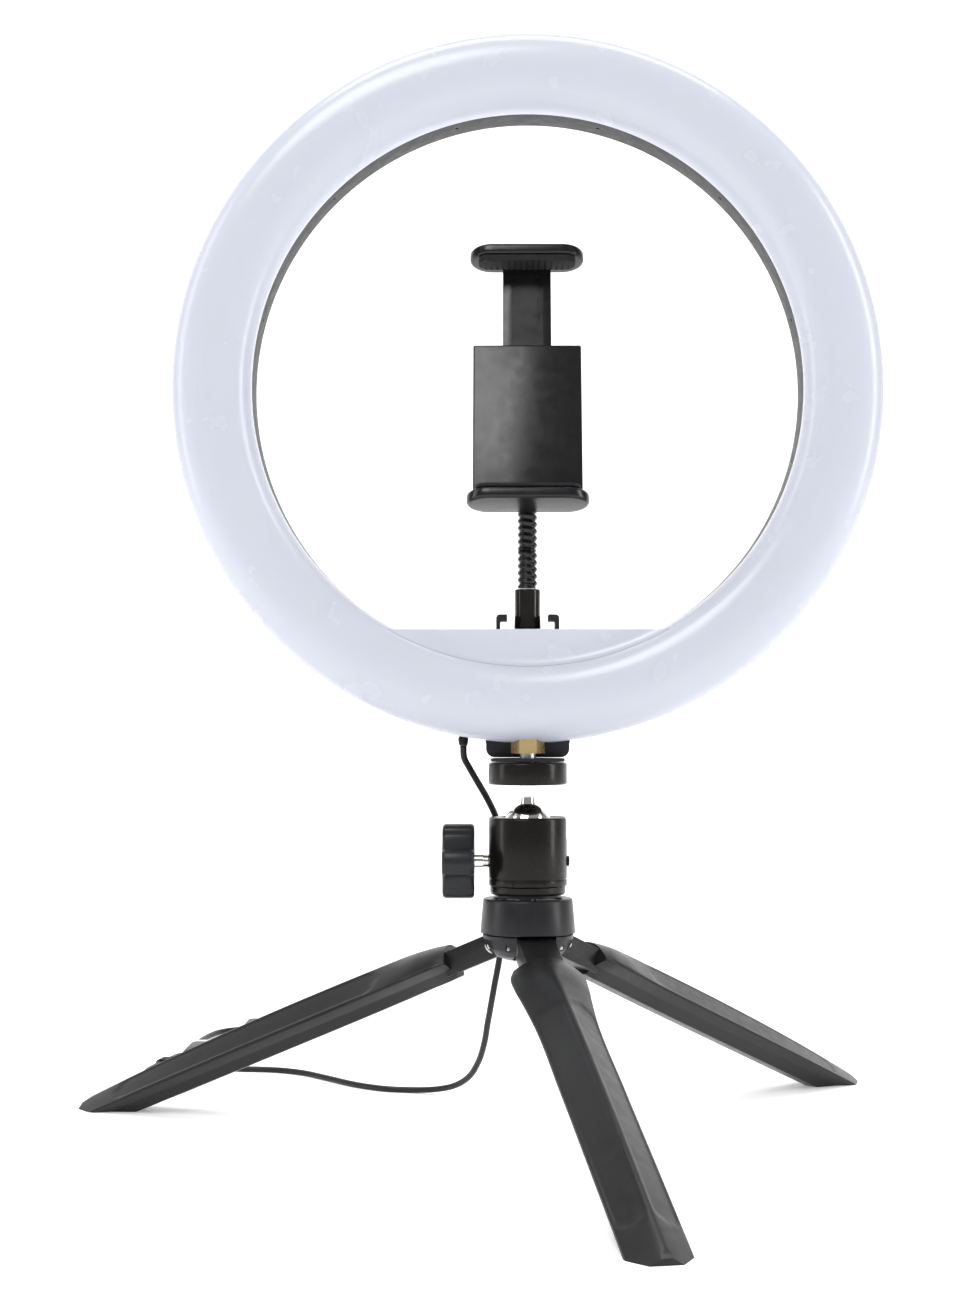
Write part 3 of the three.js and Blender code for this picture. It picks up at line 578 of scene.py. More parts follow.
def along_leg(u):
    """The leg's section values at u, eased from one station to the next."""
    stations = [s[0] for s in LEG_SECTIONS]
    tables = np.array(LEG_SECTIONS, dtype=float)
    slopes = np.gradient(tables[:, 1:], tables[:, 0], axis=0)
    i = int(np.clip(np.searchsorted(stations, u) - 1, 0, len(stations) - 2))
    span = stations[i + 1] - stations[i]
    t = (u - stations[i]) / span
    lift = (2 * t**3 - 3 * t**2 + 1, t**3 - 2 * t**2 + t, 3 * t**2 - 2 * t**3, t**3 - t**2)
    values = (lift[0] * tables[i, 1:] + lift[1] * span * slopes[i]
              + lift[2] * tables[i + 1, 1:] + lift[3] * span * slopes[i + 1])
    half, crown, side, under, ridge = values
    return half, crown, side, under, min(1, max(0, ridge))


def leg_point(u, v, w):
    c, s = math.cos(LEG_SLOPE), math.sin(LEG_SLOPE)
    return (LEG_PIVOT_R + c * u + s * w, v, LEG_PIVOT_Z - s * u + c * w)


def about_pin(x, y, z):
    """Turns a lathe's own axis onto a leg's pivot pin."""
    return (LEG_PIVOT_R + x, z, LEG_PIVOT_Z + y)


def panel_sink(u, v, half):
    """How far the flats either side of the ridge are let in, with a round end toward the hub."""
    middle, radius = half * 0.5, half * 0.42
    past = max(PANEL_START + radius - u, 0, u - (PANEL_END - radius))
    edge = radius - math.hypot(past, v - middle)
    share = min(1, max(0, edge / 0.7))
    return PANEL_DEPTH * share * share * (3 - 2 * share)


def leg_section(u):
    half, crown, side, under, ridge = along_leg(u)
    soft = 0.09
    roof_steps = 22
    right = []
    for i in range(roof_steps + 1):
        t = 0.96 * i / roof_steps
        straight = (math.sqrt(t * t + soft * soft) - soft) / (math.sqrt(1 + soft * soft) - soft)
        fall = (1 - ridge) * t * t + ridge * straight
        v = half * t
        right.append((v, crown - (crown - side) * fall - panel_sink(u, v, half)))
    lower = [
        (half - 0.15, side - 0.55, 0.35), ((half + UNDERSIDE_HALF) / 2 - 0.8, (side + under) / 2 + 0.3, 3),
        (UNDERSIDE_HALF, under, 0.7), (0, under)]
    right += rounded([right[-1], *lower], closed=False, steps=4)[1:]
    left = [(-v, w) for v, w in right[1:-1]][::-1]
    return [leg_point(u, v, w) for v, w in right + left]


def loft(rings):
    n = len(rings[0])
    verts = [p for ring in rings for p in ring]
    faces = []
    for i in range(len(rings) - 1):
        for k in range(n):
            a, b = i * n + k, i * n + (k + 1) % n
            faces.append((a, b, b + n, a + n))
    faces.append(tuple(range(n))[::-1])
    faces.append(tuple(range((len(rings) - 1) * n, len(rings) * n)))
    return verts, faces


def turned_about_z(shape, degrees):
    spin = Matrix.Rotation(math.radians(degrees), 3, "Z")
    return [spin @ Vector(v) for v in shape[0]], shape[1]


def add_leg(name, azimuth):
    sections = [leg_section(u) for u in np.arange(BAR_START, BAR_END, BAR_STEP)]
    bar = solid(name + "_bar", turned_about_z(loft(sections), azimuth))
    arc = [math.radians(90 + 180 * i / 16) for i in range(17)]
    lug_side = [(LUG_REACH, -LUG_R), (LUG_REACH, LUG_R)]
    lug_side += [(LUG_R * math.cos(a), LUG_R * math.sin(a)) for a in arc]
    lug = prism(lug_side, -LUG_HALF, LUG_HALF, lambda u, w, v: leg_point(u, v, w))
    lug = bevelled(solid(name + "_lug", turned_about_z(lug, azimuth)), 0.5)
    bore = cylinder(PIN_BORE_R, -20, 20, 24, about_pin)
    floor = block((100, -30, -60), (260, 30, 0))
    tip = prism([(LEG_REACH, -20), (260, -20), (260, 40), (172.4, 40), (172.4, 8.3), (LEG_REACH, 2.0)],
                -30, 30, upright)
    boolean(bar, [lug], "UNION")
    cuts = [turned_about_z(shape, azimuth) for shape in (bore, floor, tip)]
    cut_from(bar, cuts)
    bar.name = "tripod_" + name
    dress(bar, name, "legs", (name,), sharp=28)
    bore_r = PIN_BORE_R - 0.05
    for face in (-1, 1):
        near, far = face * LUG_HALF, face * (LUG_HALF + WASHER_THICK)
        washer = lathe([(bore_r, near), (WASHER_R, near), (WASHER_R, far), (bore_r, far)], 32, about_pin)
        made = solid(f"{name}_washer_{'a' if face < 0 else 'b'}", turned_about_z(washer, azimuth))
        dress(made, name, "steel")


def add_hub():
    collar = rounded([
        (3.4, 83.3), (13.6, 83.3), (14.7, 73.7), (17.3, 73.7, 0.5), (16.2, 86.3, 0.9), (12.4, 86.3, 0.3),
        (12.4, 85.4), (3.4, 85.4)], steps=5)
    made = outward(loose("tripod_collar", *lathe(collar, 128)))
    dress(made, "hub", "hub", ("hub_collar",), sharp=30)

    bowl = rounded([(8.5, 64.2, 3), (12.6, 65.8, 4), (15.2, 68.4, 3), (16.5, 71.8, 1.2), (16.6, 73.4, 0.3),
                    (14.2, 73.4), (13.2, 83.0)], closed=False, steps=4)
    bowl = solid("tripod_bowl", lathe([(0, 64), *bowl, (0, 83.0)], 128))
    cuts = []
    for azimuth in LEG_AZIMUTHS.values():
        slot = block((LEG_PIVOT_R - LUG_R - 0.6, -LUG_HALF - FIT, 60),
                     (30, LUG_HALF + FIT, LEG_PIVOT_Z + LUG_R + 0.5))
        hole = cylinder(1.52, -10.52, 10.52, 24, about_pin)
        cuts += [turned_about_z(shape, azimuth) for shape in (slot, hole)]
    cuts.append(prism(hexagon(11.6 / math.sqrt(3)), 78.2, 90))
    cuts.append(cylinder(3.4, 76.5, 90))
    cut_from(bowl, cuts)
    dress(bowl, "hub", "hub", ("hub_core",), sharp=30)


# ---------------------------------------------------------------- ball head

HEAD_R, HEAD_Z0, HEAD_Z1, HEAD_BORE = 14.25, 90.9, 115.6, 10
BALL_R, BALL_Z = 9, 111.8
KNOB_Z = 99.6


def add_ball_head():
    plug = rounded([(3.4, 86.7), (12, 86.7), (12, 87.7), (13.3, 87.7, 0.3), (13.7, 88.6, 0.3), (13.7, 90.6),
                    (9.6, 90.6), (9.6, 95.8), (3.4, 95.8)], steps=4)
    made = outward(loose("head_base_ring", *lathe(plug, 112)))
    dress(made, "head", "anodised", ("base_plug",), sharp=30)

    seat = BALL_R + FIT
    lip = math.radians(9)
    shell = rounded([
        (HEAD_BORE, HEAD_Z0), (HEAD_R, HEAD_Z0, 0.35), (HEAD_R, 93.0, 0.15), (HEAD_R - 0.3, 93.15),
        (HEAD_R - 0.3, 93.45), (HEAD_R, 93.6, 0.15), (HEAD_R, HEAD_Z1, 0.9), (9.6, HEAD_Z1, 0.5),
        (seat * math.cos(lip), BALL_Z + seat * math.sin(lip)), (seat, BALL_Z),
        (HEAD_BORE, BALL_Z - 2)], steps=5)
    housing = solid("head_housing", lathe(shell, 144))
    half_turn = [math.radians(90 + 180 * i / 20) for i in range(21)]
    notch = [(12, -3.3), (12, 3.3)] + [(3.3 * math.cos(a), 3.3 * math.sin(a)) for a in half_turn]
    notch_shape = prism(notch, 5, 20, lambda up, y, x: (x, y, 110 + up))
    bores = [((-20, -5), 2.75), ((5, 20), 2.2)]
    cuts = [notch_shape]
    for (x0, x1), r in bores:
        cuts.append(cylinder(r, x0, x1, 32, about_x(KNOB_Z)))
    for degrees in (-112, -66):
        a = math.radians(degrees)
        dimple = cylinder(0.32, -0.35, 1, 16)
        spin = Matrix.Rotation(a, 3, "Z") @ Matrix.Rotation(math.pi / 2, 3, "Y")
        at = Vector((HEAD_R * math.cos(a), HEAD_R * math.sin(a), 92.0))
        cuts.append(([at + spin @ Vector(v) for v in dimple[0]], dimple[1]))
    cut_from(housing, cuts)
    dress(housing, "head", "anodised", ("ball_housing",), sharp=30)

    screw = solid("head_set_screw", lathe(
        [(0, 10.6), (1.9, 10.6), (1.9, 14.8), (1.6, 15.1), (0, 15.1)], 32, about_x(KNOB_Z)))
    drive = prism(hexagon(1.15), 13.6, 17, lambda a, b, x: (x, a, KNOB_Z + b))
    cut_from(screw, [drive])
    dress(screw, "head", "anodised", ("set_screw",), sharp=30)

    threads = [(0, -26.7), (2.45, -26.7), (2.45, -16.4)]
    for i in range(9):
        x = -16.2 + 0.62 * i
        threads += [(2.45, x), (2.12, x + 0.31)]
    threads += [(2.45, -10.6), (0.6, -8.6), (0, -8.6)]
    screw = outward(loose("knob_screw", *lathe(threads, 48, about_x(KNOB_Z))))
    dress(screw, "knob", "chrome", ("lock_screw",), sharp=30)


def add_knob():
    """A four-lobed knob on its side, with a dished outer face round a plain boss."""
    outer_r, x0, x1 = 13.5, -31.0, -19.4

    def lobe(a):
        swell = math.copysign(abs(math.cos(4 * a)) ** 0.45, math.cos(4 * a))
        return outer_r - 1.9 * (1 - swell)

    rings = []
    # place along the screw, radius (None follows the lobes), and how far the lobes are let in
    stations = [
        (x0 + 2.2, 3.4, 0), (x0 + 0.4, 4.4, 0), (x0, 4.9, 0), (x0 + 0.6, 6.6, 0.4), (x0 + 0.5, None, 3.6),
        (x0, None, 2.9), (x0, None, 1.4), (x0 + 0.25, None, 0.6), (x0 + 0.75, None, 0.15),
        (x0 + 1.4, None, 0), (x1 - 1.3, None, 0), (x1 - 0.7, None, 0.15), (x1 - 0.2, None, 0.55),
        (x1, None, 1.2)]
    steps = 160
    for x, r, inset in stations:
        ring = []
        for k in range(steps):
            a = 2 * math.pi * k / steps
            radius = r if r else lobe(a) - inset
            ring.append((x, radius * math.cos(a), KNOB_Z + radius * math.sin(a)))
        rings.append(ring)
    made = solid("lock_knob_lobes", loft(rings))
    cut_from(made, [cylinder(2.75, -27, -10, 32, about_x(KNOB_Z))])
    dress(made, "knob", "knob", ("lock_knob",), sharp=32)


def add_platform():
    neck_z, top = 121.2, 127.1
    profile = [(0, BALL_Z - BALL_R)]
    last = math.radians(72)
    for i in range(1, 41):
        a = -math.pi / 2 + (last + math.pi / 2) * i / 40
        profile.append((BALL_R * math.cos(a), BALL_Z + BALL_R * math.sin(a)))
    profile += [(2.62, neck_z), (2.5, neck_z + 0.8), (2.55, 123.5), (2.8, top), (0, top)]
    made = outward(loose("chrome_ball", *lathe(profile, 128)))
    dress(made, "platform", "chrome", ("ball", "ball_stem"), sharp=30)

    disc = [(0, 127.4), (13.4, 127.4), *rounded(
        [(12, 127.4), (14.25, 127.4, 0.8), (14.25, 135.4, 0.8), (3.4, 135.4)], closed=False, steps=6)[1:-1],
        (3.4, 135.4), (3.4, 128.7), (0, 128.7)]
    made = outward(loose("platform_plate", *lathe(disc, 144)))
    dress(made, "platform", "anodised", ("platform_disc",), sharp=30)

    pad = rounded([(3.6, 135.7, 0.1), (13.45, 135.7, 0.3), (13.45, 136.9, 0.3), (3.6, 136.9, 0.1)], steps=3)
    made = outward(loose("platform_rubber", *lathe(pad, 128)))
    dress(made, "platform", "rubber", ("platform_pad",))


# ---------------------------------------------------------------- ring lamp

WEB_TOP, SHELF_TOP = 183.8, 180.2
DOME, BACK, WALL = 11.5, 17, 1.8
SHELL_SCREWS = [30, 90, 150, 210, 270, 330]
SCREW_CIRCLE = 115.5
TAB_HALF, TAB_Z0, TAB_CORNER, TAB_INSET = 15.2, 137.2, 3.2, 0.9
RING_SIDES = 240


def arch(t):
    return (1 - abs(2 * t - 1) ** 2.4) ** (1 / 2.1)


def on_ring(r, degrees):
    a = math.radians(degrees)
    return r * math.cos(a), RING_Z + r * math.sin(a)


def rod_y(r, y0, y1, x, z, sides=24):
    return cylinder(r, y0, y1, sides, lambda a, b, y: (x + a, y, z + b))


def segment(top, r, steps=60):
    half = math.acos((RING_Z - top) / r)
    angles = [-math.pi / 2 - half + 2 * half * i / steps for i in range(steps + 1)]
    return [(r * math.cos(a), RING_Z + r * math.sin(a)) for a in angles]


def tab_outline(inset=0.0):
    """The foot tab in X and Z, flared into the ring; the front cover's is let in from the shell's."""
    w = TAB_HALF - inset
    foot = TAB_Z0 + inset
    root = RING_Z - math.sqrt((RING_OUTER - 3) ** 2 - (w + 3) ** 2)
    flare = [(w + 3 * (k / 8) ** 2, root - 5 + 5 * k / 8) for k in range(9)]
    left = [(-x, z) for x, z in flare][::-1]
    bottom = rounded([(-w, root - 6), (-w, foot, TAB_CORNER), (w, foot, TAB_CORNER), (w, root - 6)],
                     closed=False, steps=8)
    return [*bottom, *flare, *left]


def add_diffuser():
    rim = 0.6
    outer_face, inner_face = [], []
    steps = 44
    for i in range(steps + 1):
        t = (1 - math.cos(math.pi * i / steps)) / 2
        outer_face.append((RING_OUTER + (RING_INNER - RING_OUTER) * t, -1 - (DOME - 1) * arch(t)))
        r = RING_OUTER - WALL + (RING_INNER - RING_OUTER + 2 * WALL) * t
        inner_face.append((r, -1 + WALL / 2 - (DOME - 1 - WALL / 2) * arch(t)))
    profile = [(RING_OUTER, rim), *outer_face, (RING_INNER, rim), (RING_INNER + WALL, rim),
               *inner_face[::-1], (RING_OUTER - WALL, rim)]
    body = solid("lamp_diffuser", lathe(profile, RING_SIDES, about_y))

    web = [(0, -4), (96, -4), (97.6, -4.05), (98.9, -4.2), (100, -4.5), (100.9, -4.9), (101.6, -5.4),
           (102.2, -6.0), (102.5, -5.0), (102.5, -2.2), (0, -2.2)]
    web = solid("web", lathe(web, RING_SIDES, about_y))
    cut_from(web, [block((-120, -20, WEB_TOP), (120, 20, 420))])
    tab = bevelled(solid("tab", prism(tab_outline(TAB_INSET), -9.5, rim, upright)), 1.3, 4, 60)
    joined = [web, tab]
    joined += [solid("boss", rod_y(2.6, -DOME + 1.5, rim, *on_ring(SCREW_CIRCLE, a))) for a in SHELL_SCREWS]
    boolean(body, joined, "UNION")
    cuts = [rod_y(1.5, -5.5, 3, *on_ring(SCREW_CIRCLE, a), 16) for a in SHELL_SCREWS]
    cuts += tripod_socket()
    cut_from(body, cuts)
    dress(body, "ring", "milky", ("front_diffuser",), sharp=24)


def tripod_socket():
    return [prism(hexagon(11.4 / math.sqrt(3)), 138.4, 145),
            cylinder(3.6, 130, 140)]


def add_rear_shell():
    front, outer = 0.9, RING_OUTER - 0.4
    profile = rounded([
        (outer, front, 0.2), (outer, BACK, 3.2), (RING_INNER, BACK, 1.8), (RING_INNER, front, 0.2),
        (RING_INNER + WALL, front), (RING_INNER + WALL, BACK - WALL), (outer - WALL, BACK - WALL),
        (outer - WALL, front)], steps=6)
    body = solid("lamp_rear_shell", lathe(profile, RING_SIDES, about_y))
    shelf = solid("shelf", prism(segment(SHELF_TOP, RING_INNER - FIT), -1.9, front + 1, upright))
    ledge = solid("ledge", prism(segment(SHELF_TOP, RING_INNER + 0.8), front, BACK, upright))
    boolean(shelf, [ledge], "UNION")
    hollow = prism(segment(SHELF_TOP - WALL, RING_INNER + 0.9), -3, BACK - WALL - 0.01, upright)
    cut_from(shelf, [hollow])
    rear_web = solid("rear_web", prism(segment(SHELF_TOP, RING_INNER + 0.8), BACK - WALL, BACK, upright))
    tab = bevelled(solid("tab", prism(tab_outline(), front, BACK, upright)), 0.6, 3, 60)
    joined = [shelf, rear_web, tab]
    joined += [solid("post", rod_y(3.2, 5, BACK - 1, *on_ring(SCREW_CIRCLE, a))) for a in SHELL_SCREWS]
    boolean(body, joined, "UNION")
    cuts = tripod_socket()
    for a in SHELL_SCREWS:
        cuts.append(rod_y(1.5, 0, 20, *on_ring(SCREW_CIRCLE, a), 20))
        cuts.append(rod_y(3, BACK - 1.7, 20, *on_ring(SCREW_CIRCLE, a), 32))
    vent = cylinder(0.75, 100, 102.2, 16)
    centre = Vector((0, 7.2, RING_Z))
    for degrees in range(15, 360, 30):
        if math.sin(math.radians(degrees)) < -0.75:
            continue  # the shelf fills the ring there
        turn = Matrix.Rotation(-math.radians(degrees), 3, "Y") @ Matrix.Rotation(math.pi / 2, 3, "Y")
        cuts.append(([centre + turn @ Vector(v) for v in vent[0]], vent[1]))
    cuts.append(cylinder(1.7, 140, 150, 24, shifted(*LEAD_EXIT)))
    for r in (107.5, 123):
        groove = lathe([(r - 0.35, BACK - 0.35), (r + 0.35, BACK - 0.35), (r + 0.35, 14), (r - 0.35, 14)],
                       RING_SIDES, about_y)
        cuts.append(groove)
    cut_from(body, cuts)
    dress(body, "ring", "shell", ("rear_shell",), sharp=24)


def add_shoe():
    half, top, base = 11.5, 189.3, SHELF_TOP + FIT
    outline = rounded([
        (-half, base, 0.3), (half, base, 0.3), (half, top, 1.3), (7.5, top, 0.25), (7.5, top - 2.3, 0.25),
        (half - 1.5, top - 2.3, 0.4), (half - 1.5, base + 1.2, 0.2), (1.5 - half, base + 1.2, 0.2),
        (1.5 - half, top - 2.3, 0.4), (-7.5, top - 2.3, 0.25), (-7.5, top, 0.25), (-half, top, 1.3)], steps=4)
    made = bevelled(solid("shoe_rails", prism(outline, -1.4, 11.6, upright)), 0.25, 2, 60)
    dress(made, "ring", "shell", ("cold_shoe",), sharp=30)

    grommet = rounded([(1.25, 141.7), (1.6, 141.7, 0.2), (1.9, 144, 0.4), (1.5, 144.6), (1.5, 147.4),
                       (1.25, 147.4)], steps=3)
    made = outward(loose("lead_grommet", *lathe(grommet, 40, shifted(*LEAD_EXIT))))
    dress(made, "ring", "rubber", ("cord_grommet",))
    sleeve = lathe([(1.24, 141.35), (1.42, 141.35), (1.42, 142.0), (1.24, 142.0)], 32, shifted(-23.55, 7.1))
    sleeve = outward(loose("lead_sleeve", *sleeve))
    dress(sleeve, "ring", "red")
    return made, sleeve


# ---------------------------------------------------------------- phone holder

NECK_Y, NECK_R = 6, 3.6
CLAMP_Y, CLAMP_Z, CLAMP_LEAN = -0.5, 226.2, math.radians(15)
CLAMP_STUD_Y = 5.7
RIB_PITCH = 2.55


def in_clamp(x, y, z):
    c, s = math.cos(CLAMP_LEAN), math.sin(CLAMP_LEAN)
    return (x, CLAMP_Y + c * y + s * z, CLAMP_Z - s * y + c * z)


def about_stud(x, y, z):
    return in_clamp(x, CLAMP_STUD_Y + y, z)


def ribs(along, angle):
    """A wound neck: one rounded rib climbing a pitch for each turn."""
    phase = (along / RIB_PITCH + angle / (2 * math.pi)) % 1
    return NECK_R - 0.62 * abs(math.cos(math.pi * phase)) ** 3


def neck_tube(name, route, replaced):
    points = smooth_curve(route, 0.22)
    verts, faces = tube(points, ribs, 32)
    made = new_piece(name, verts, faces, None, "glossy", replaced, sharp=60)
    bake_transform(made)


def add_neck():
    base = SHELF_TOP + FIT + 1.2 + FIT
    outline = round_rect(18.2, 12.6, 0.8)
    foot = solid("holder_foot", prism(outline, base, base + 2, shifted(0, NECK_Y - 0.3)))
    foot = bevelled(foot, 0.25, 2, 60)
    boss = solid("boss", cylinder(4.6, base + 1, 184, 48, shifted(0, NECK_Y)))
    boolean(foot, [boss], "UNION")
    dress(foot, "shoe", "anodised", ("shoe_foot",), sharp=30)

    sleeve = rounded([(4, 184.3), (4.95, 184.3, 0.4), (4.85, 186.2, 1), (4.65, 190, 2), (4.7, 198.8, 0.5),
                      (4, 198.8)], closed=False, steps=5)[1:-1]
    made = outward(loose("neck_sleeve", *lathe([(0, 184.3), *sleeve, (0, 198.8)], 96, shifted(0, NECK_Y))))
    dress(made, "shoe", "glossy", ("lower_ferrule",), sharp=30)

    neck_tube("neck_lower", [(0, NECK_Y, z) for z in (199.1, 203, 208, 213.15)],
              ("gooseneck_lower",))
    upper = [(0, NECK_Y, 213.15), (0, NECK_Y, 218),
             in_clamp(0, CLAMP_STUD_Y, 5.5), in_clamp(0, CLAMP_STUD_Y, 9.4)]
    neck_tube("neck_upper", upper, ("gooseneck_upper",))

    ferrule = rounded([(3, 9.9), (4.6, 9.9, 0.5), (4.6, 19.6, 0.5), (3, 19.6)], closed=False, steps=4)[1:-1]
    ferrule = lathe([(0, 9.9), *ferrule, (0, 19.6)], 64, about_stud)
    made = outward(loose("holder_ferrule", *ferrule))
    dress(made, "neck_top", "glossy", ("upper_ferrule",), sharp=30)


def clamp_prism(outline, z0, z1, dy=0.0):
    return prism(outline, z0, z1, lambda x, y, z: in_clamp(x, y + dy, z))


def clamp_block(low, high):
    return block(low, high, in_clamp)


JAW_WIDTH, JAW_DEPTH, JAW_THICK, JAW_GAP = 44.4, 17, 4.2, 92.5
BODY_HALF, BODY_TOP, BODY_DEPTH, BODY_SPLIT = 20, 63.8, 7.5, -2.7


def jaw_solid(name, width, z0):
    outline = round_rect(width, JAW_DEPTH, JAW_DEPTH / 2 - 0.05, 16)
    shape = clamp_prism(outline, z0, z0 + JAW_THICK, -JAW_DEPTH / 2)
    return bevelled(solid(name, shape), 1.3, 5, 60)


def add_holder():
    w, depth, split, top = BODY_HALF, BODY_DEPTH, BODY_SPLIT, BODY_TOP
    body = jaw_solid("holder_frame", JAW_WIDTH, 0)
    back = bevelled(solid("back", clamp_block((-w, -depth, 1), (w, split, top))), 0.7, 3, 60)
    boolean(body, [back], "UNION")
    cuts = [clamp_block((-16.6, split - 3, 6.5), (16.6, split + 1, top - 3.3)),
            clamp_block((-9.4, split - 3, 50), (9.4, split + 1, top + 1))]
    cut_from(body, cuts)
    dress(body, "clamp", "clamp", ("holder_body",), sharp=30)

    plate_shape = clamp_block((-w, split + FIT, JAW_THICK + 0.4), (w, 0, top))
    cover = bevelled(solid("holder_back_cover", plate_shape), 0.8, 4, 60)
    boss = bevelled(solid("boss", clamp_block((-7, -0.5, 22), (7, 12, 35))), 1.2, 4, 60)
    boolean(cover, [boss], "UNION")
    stud = cylinder(3.4, 10, 31.5, 32, about_stud)
    cuts = [stud]
    for side in (-1, 1):
        for rib in range(5):
            z = 10 + 2.2 * rib
            low, high = sorted((side * 11, side * 17))
            cuts.append(clamp_block((low, -0.35, z), (high, 1, z + 0.9)))
    cut_from(cover, cuts)
    dress(cover, "clamp", "clamp", ("holder_cover",), sharp=30)

    upper = JAW_THICK + JAW_GAP
    slide = jaw_solid("holder_slide", JAW_WIDTH - 2, upper)
    arm = bevelled(solid("arm", clamp_block((-9, split - 2.7, 40), (9, split - 0.3, upper + 1))), 0.35, 2, 60)
    cross = solid("cross", clamp_block((-16, split - 2.7, 38), (16, split - 0.3, 41.3)))
    boolean(slide, [arm, cross], "UNION")
    grooves = []
    for i in range(2):
        x = -5.6 + 9.6 * i
        grooves.append(clamp_block((x, split - 3, 67), (x + 1.6, split - 2.3, upper - 4)))
    cut_from(slide, grooves)
    dress(slide, "jaw", "clamp", ("slide_jaw",), sharp=30)

    for name, body_name, z0, z1, width, node in (
        ("phone_rest_pad", "clamp", JAW_THICK + FIT, JAW_THICK + 1.6, 38, "lower_pad"),
        ("phone_top_pad", "jaw", upper - 2.8, upper - FIT, 36, "upper_pad"),
    ):
        pad = clamp_prism(round_rect(width, 8, 3.5, 8), z0, z1, -JAW_DEPTH + 4.6)
        pad = bevelled(solid(name, pad), 0.3, 2, 60)
        ridges = []
        top_side = z1 if body_name == "clamp" else z0
        for i in range(int(width / 2.2) - 1):
            x = -width / 2 + 2.2 * (i + 1)
            low, high = (x, -16.2, top_side - 0.35), (x + 0.8, -8.6, top_side + 0.35)
            ridges.append(clamp_block(low, high))
        cut_from(pad, ridges)
        dress(pad, body_name, "rubber", (node,), sharp=30)

    for side, x in (("left", -12.9), ("right", 12.9)):
        turns, per_turn = 6, 28
        coil = []
        for i in range(turns * per_turn + 1):
            a = 2 * math.pi * i / per_turn
            z = 42.1 + 17.6 * i / (turns * per_turn)
            coil.append(in_clamp(x + 0.95 * math.cos(a), split - 1.5 + 0.95 * math.sin(a), z))
        verts, faces = tube(coil, 0.28, 10)
        made = new_piece(f"holder_spring_{side}", verts, faces, None, "steel",
                         (f"clamp_spring_{side}",))
        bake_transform(made)


# ---------------------------------------------------------------- controller and plug

CONTROL_X, CONTROL_Y0, CONTROL_Y1 = -122, 175, 235
CONTROL_WIDTH, CONTROL_HEIGHT, CONTROL_SPLIT = 15, 9, 4.8
PLUG_X, PLUG_Y0, PLUG_BODY, PLUG_WIDTH, PLUG_HEIGHT, USB_LENGTH = -141, 150, 24, 14.5, 7.5, 13.5


def add_controller():
    w, split, height = CONTROL_WIDTH / 2, CONTROL_SPLIT, CONTROL_HEIGHT
    middle = (CONTROL_Y0 + CONTROL_Y1) / 2
    outline = round_rect(CONTROL_WIDTH, CONTROL_Y1 - CONTROL_Y0, 3, 8)
    there = shifted(CONTROL_X, middle)

    def inner(low, high):
        return block(low, high, shifted(CONTROL_X, 0))

    tray = bevelled(solid("control_tray", prism(outline, 0, split - FIT, there)), 0.5, 3, 60)
    cuts = [inner((-w + 1.4, CONTROL_Y0 + 2, 1.4), (w - 1.4, CONTROL_Y1 - 2, split))]
    for y0, y1 in ((CONTROL_Y0 - 1, CONTROL_Y0 + 3), (CONTROL_Y1 - 3, CONTROL_Y1 + 1)):
        cuts.append(rod_y(CORD_R + 0.2, y0, y1, CONTROL_X, 4))
    cut_from(tray, cuts)
    dress(tray, "hub", "shell", ("control_shell",), sharp=30)

    buttons = {"button_dimmer": -14, "button_power": 0, "button_brighter": 14}
    lid = bevelled(solid("control_lid", prism(outline, split, height, there)), 0.7, 4, 60)
    cuts = [inner((-w + 1.4, CONTROL_Y0 + 2, split - 1), (w - 1.4, CONTROL_Y1 - 2, height - 1.4))]
    for dy in buttons.values():
        hole = cylinder(3.4, split, height + 1, 48, shifted(CONTROL_X, middle + dy))
        cuts.append(hole)
    cut_from(lid, cuts)
    dress(lid, "hub", "shell", ("control_cover",), sharp=30)

    for name, dy in buttons.items():
        cap = rounded([(4.2, 5.2), (4.2, 6.2), (3.1, 6.2), (3.1, height + 0.7, 0.5), (2.4, height + 0.7, 0.3),
                       (1.9, height + 0.45)], closed=False, steps=4)
        cap = lathe([(0, 5.2), *cap, (0, height + 0.4)], 48, shifted(CONTROL_X, middle + dy))
        made = outward(loose(name.replace("button", "key"), *cap))
        dress(made, name, "rubber", (name,), sharp=30)


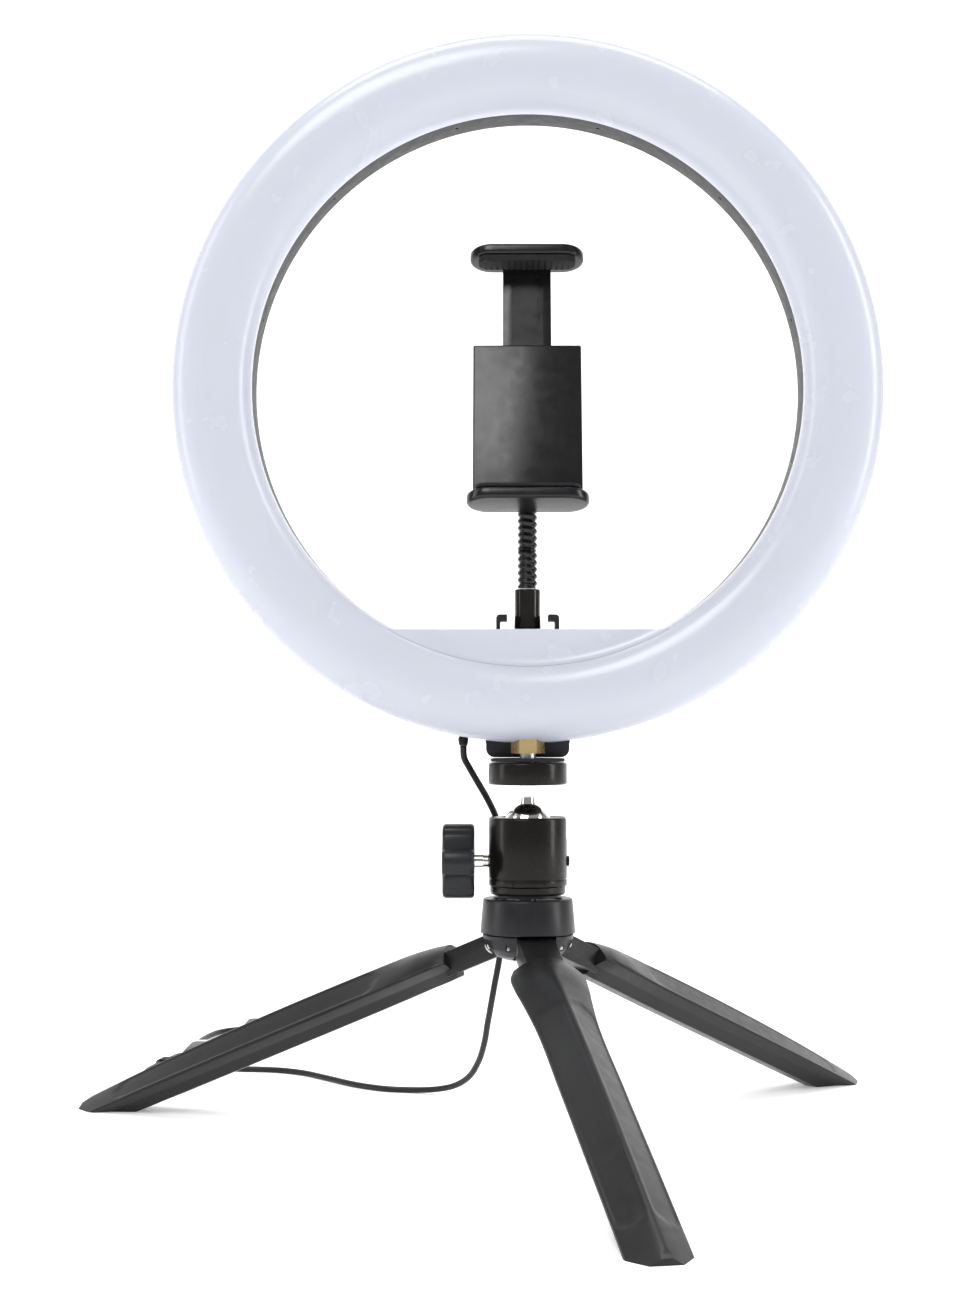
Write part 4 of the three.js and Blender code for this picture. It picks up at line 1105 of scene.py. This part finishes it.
def add_plug():
    outline = round_rect(PLUG_WIDTH, PLUG_HEIGHT, 2, 6)
    middle = PLUG_HEIGHT / 2

    def plug_prism(shape, y0, y1):
        return prism(shape, y0, y1, lambda x, z, y: (PLUG_X + x, y, middle + z))

    body = bevelled(solid("plug_overmould", plug_prism(outline, PLUG_Y0, PLUG_Y0 + PLUG_BODY)), 0.7, 4, 60)
    cuts = []
    for side in (-1, 1):
        for i in range(5):
            y = PLUG_Y0 + 8 + 2.4 * i
            low, high = sorted((side * 6.85, side * 8))
            cuts.append(block((low, y, 1.2), (high, y + 1.1, 6.3), shifted(PLUG_X, 0)))
    cut_from(body, cuts)
    dress(body, "hub", "cord", ("usb_overmould",), sharp=30)

    y0 = PLUG_Y0 + PLUG_BODY + FIT
    shell = plug_prism(round_rect(12, 4.5, 0.45, 4), y0, y0 + USB_LENGTH)
    shell = solid("plug_shell", shell)
    mouth = block((-5.6, y0 + 2, 3.9), (5.6, y0 + USB_LENGTH + 1, 5.6), shifted(PLUG_X, 0))
    cuts = [mouth]
    for x in (-3.2, 3.2):
        window = block((x - 1.1, y0 + 5.2, 5.2), (x + 1.1, y0 + 7.6, 8), shifted(PLUG_X, 0))
        cuts.append(window)
    cut_from(shell, cuts)
    dress(shell, "hub", "steel", ("usb_shell",), sharp=30)
    return body, shell


def add_tie():
    """A strap round the middle of the hank."""
    half_w, top, thick = HANK["width"] / 2 + 0.05, 9.55 + TIE_LIFT, 0.45
    inner = rounded([(-half_w, thick, 1.1), (half_w, thick, 1.1),
                     (half_w, top, 1.1), (-half_w, top, 1.1)], steps=5)
    outer = rounded([(-half_w - thick, 0.02, 1.5), (half_w + thick, 0.02, 1.5),
                     (half_w + thick, top + thick, 1.5), (-half_w - thick, top + thick, 1.5)], steps=5)
    n = len(inner)
    verts, faces = [], []
    for along in (-3.5, 3.5):
        for loop in (outer, inner):
            verts += [in_hank(along, across, z) for across, z in loop]
    for k in range(n):
        m = (k + 1) % n
        quads = ((k, m, n + m, n + k), (2 * n + k, 3 * n + k, 3 * n + m, 2 * n + m),
                 (k, 2 * n + k, 2 * n + m, m), (n + k, n + m, 3 * n + m, 3 * n + k))
        faces += quads
    made = outward(loose("lead_tie", verts, faces))
    return dress(made, "hub", "rubber", sharp=50)


# ---------------------------------------------------------------- the whole light


def dress_inner_parts():
    """Materials for the CAD solids that stay as they are."""
    looks = {
        "led_board": "board", "tripod_nut": "brass", "hub_stud": "steel", "stud_nut": "steel",
        "platform_screw": "steel", "holder_screw": "steel", "brake_cup": "board",
        "brake_plunger": "steel", "control_board": "green",
    }
    looks.update({name.replace("leg", "leg_pin"): "steel" for name in LEG_AZIMUTHS})
    looks.update({f"shell_screw_{i + 1}": "steel" for i in range(len(SHELL_SCREWS))})
    for name, look in looks.items():
        mesh = bpy.data.objects[name].data
        mesh.materials.clear()
        mesh.materials.append(MATERIALS[look])


add_camera()
add_floor()
add_lights()
add_hub()
for leg_name, leg_azimuth in LEG_AZIMUTHS.items():
    add_leg(leg_name, leg_azimuth)
add_ball_head()
add_knob()
add_platform()
add_diffuser()
add_rear_shell()
grommet_pieces = add_shoe()
add_neck()
add_holder()
add_controller()
plug_pieces = add_plug()
hank_tie = add_tie()
dress_inner_parts()
lead = add_lead()
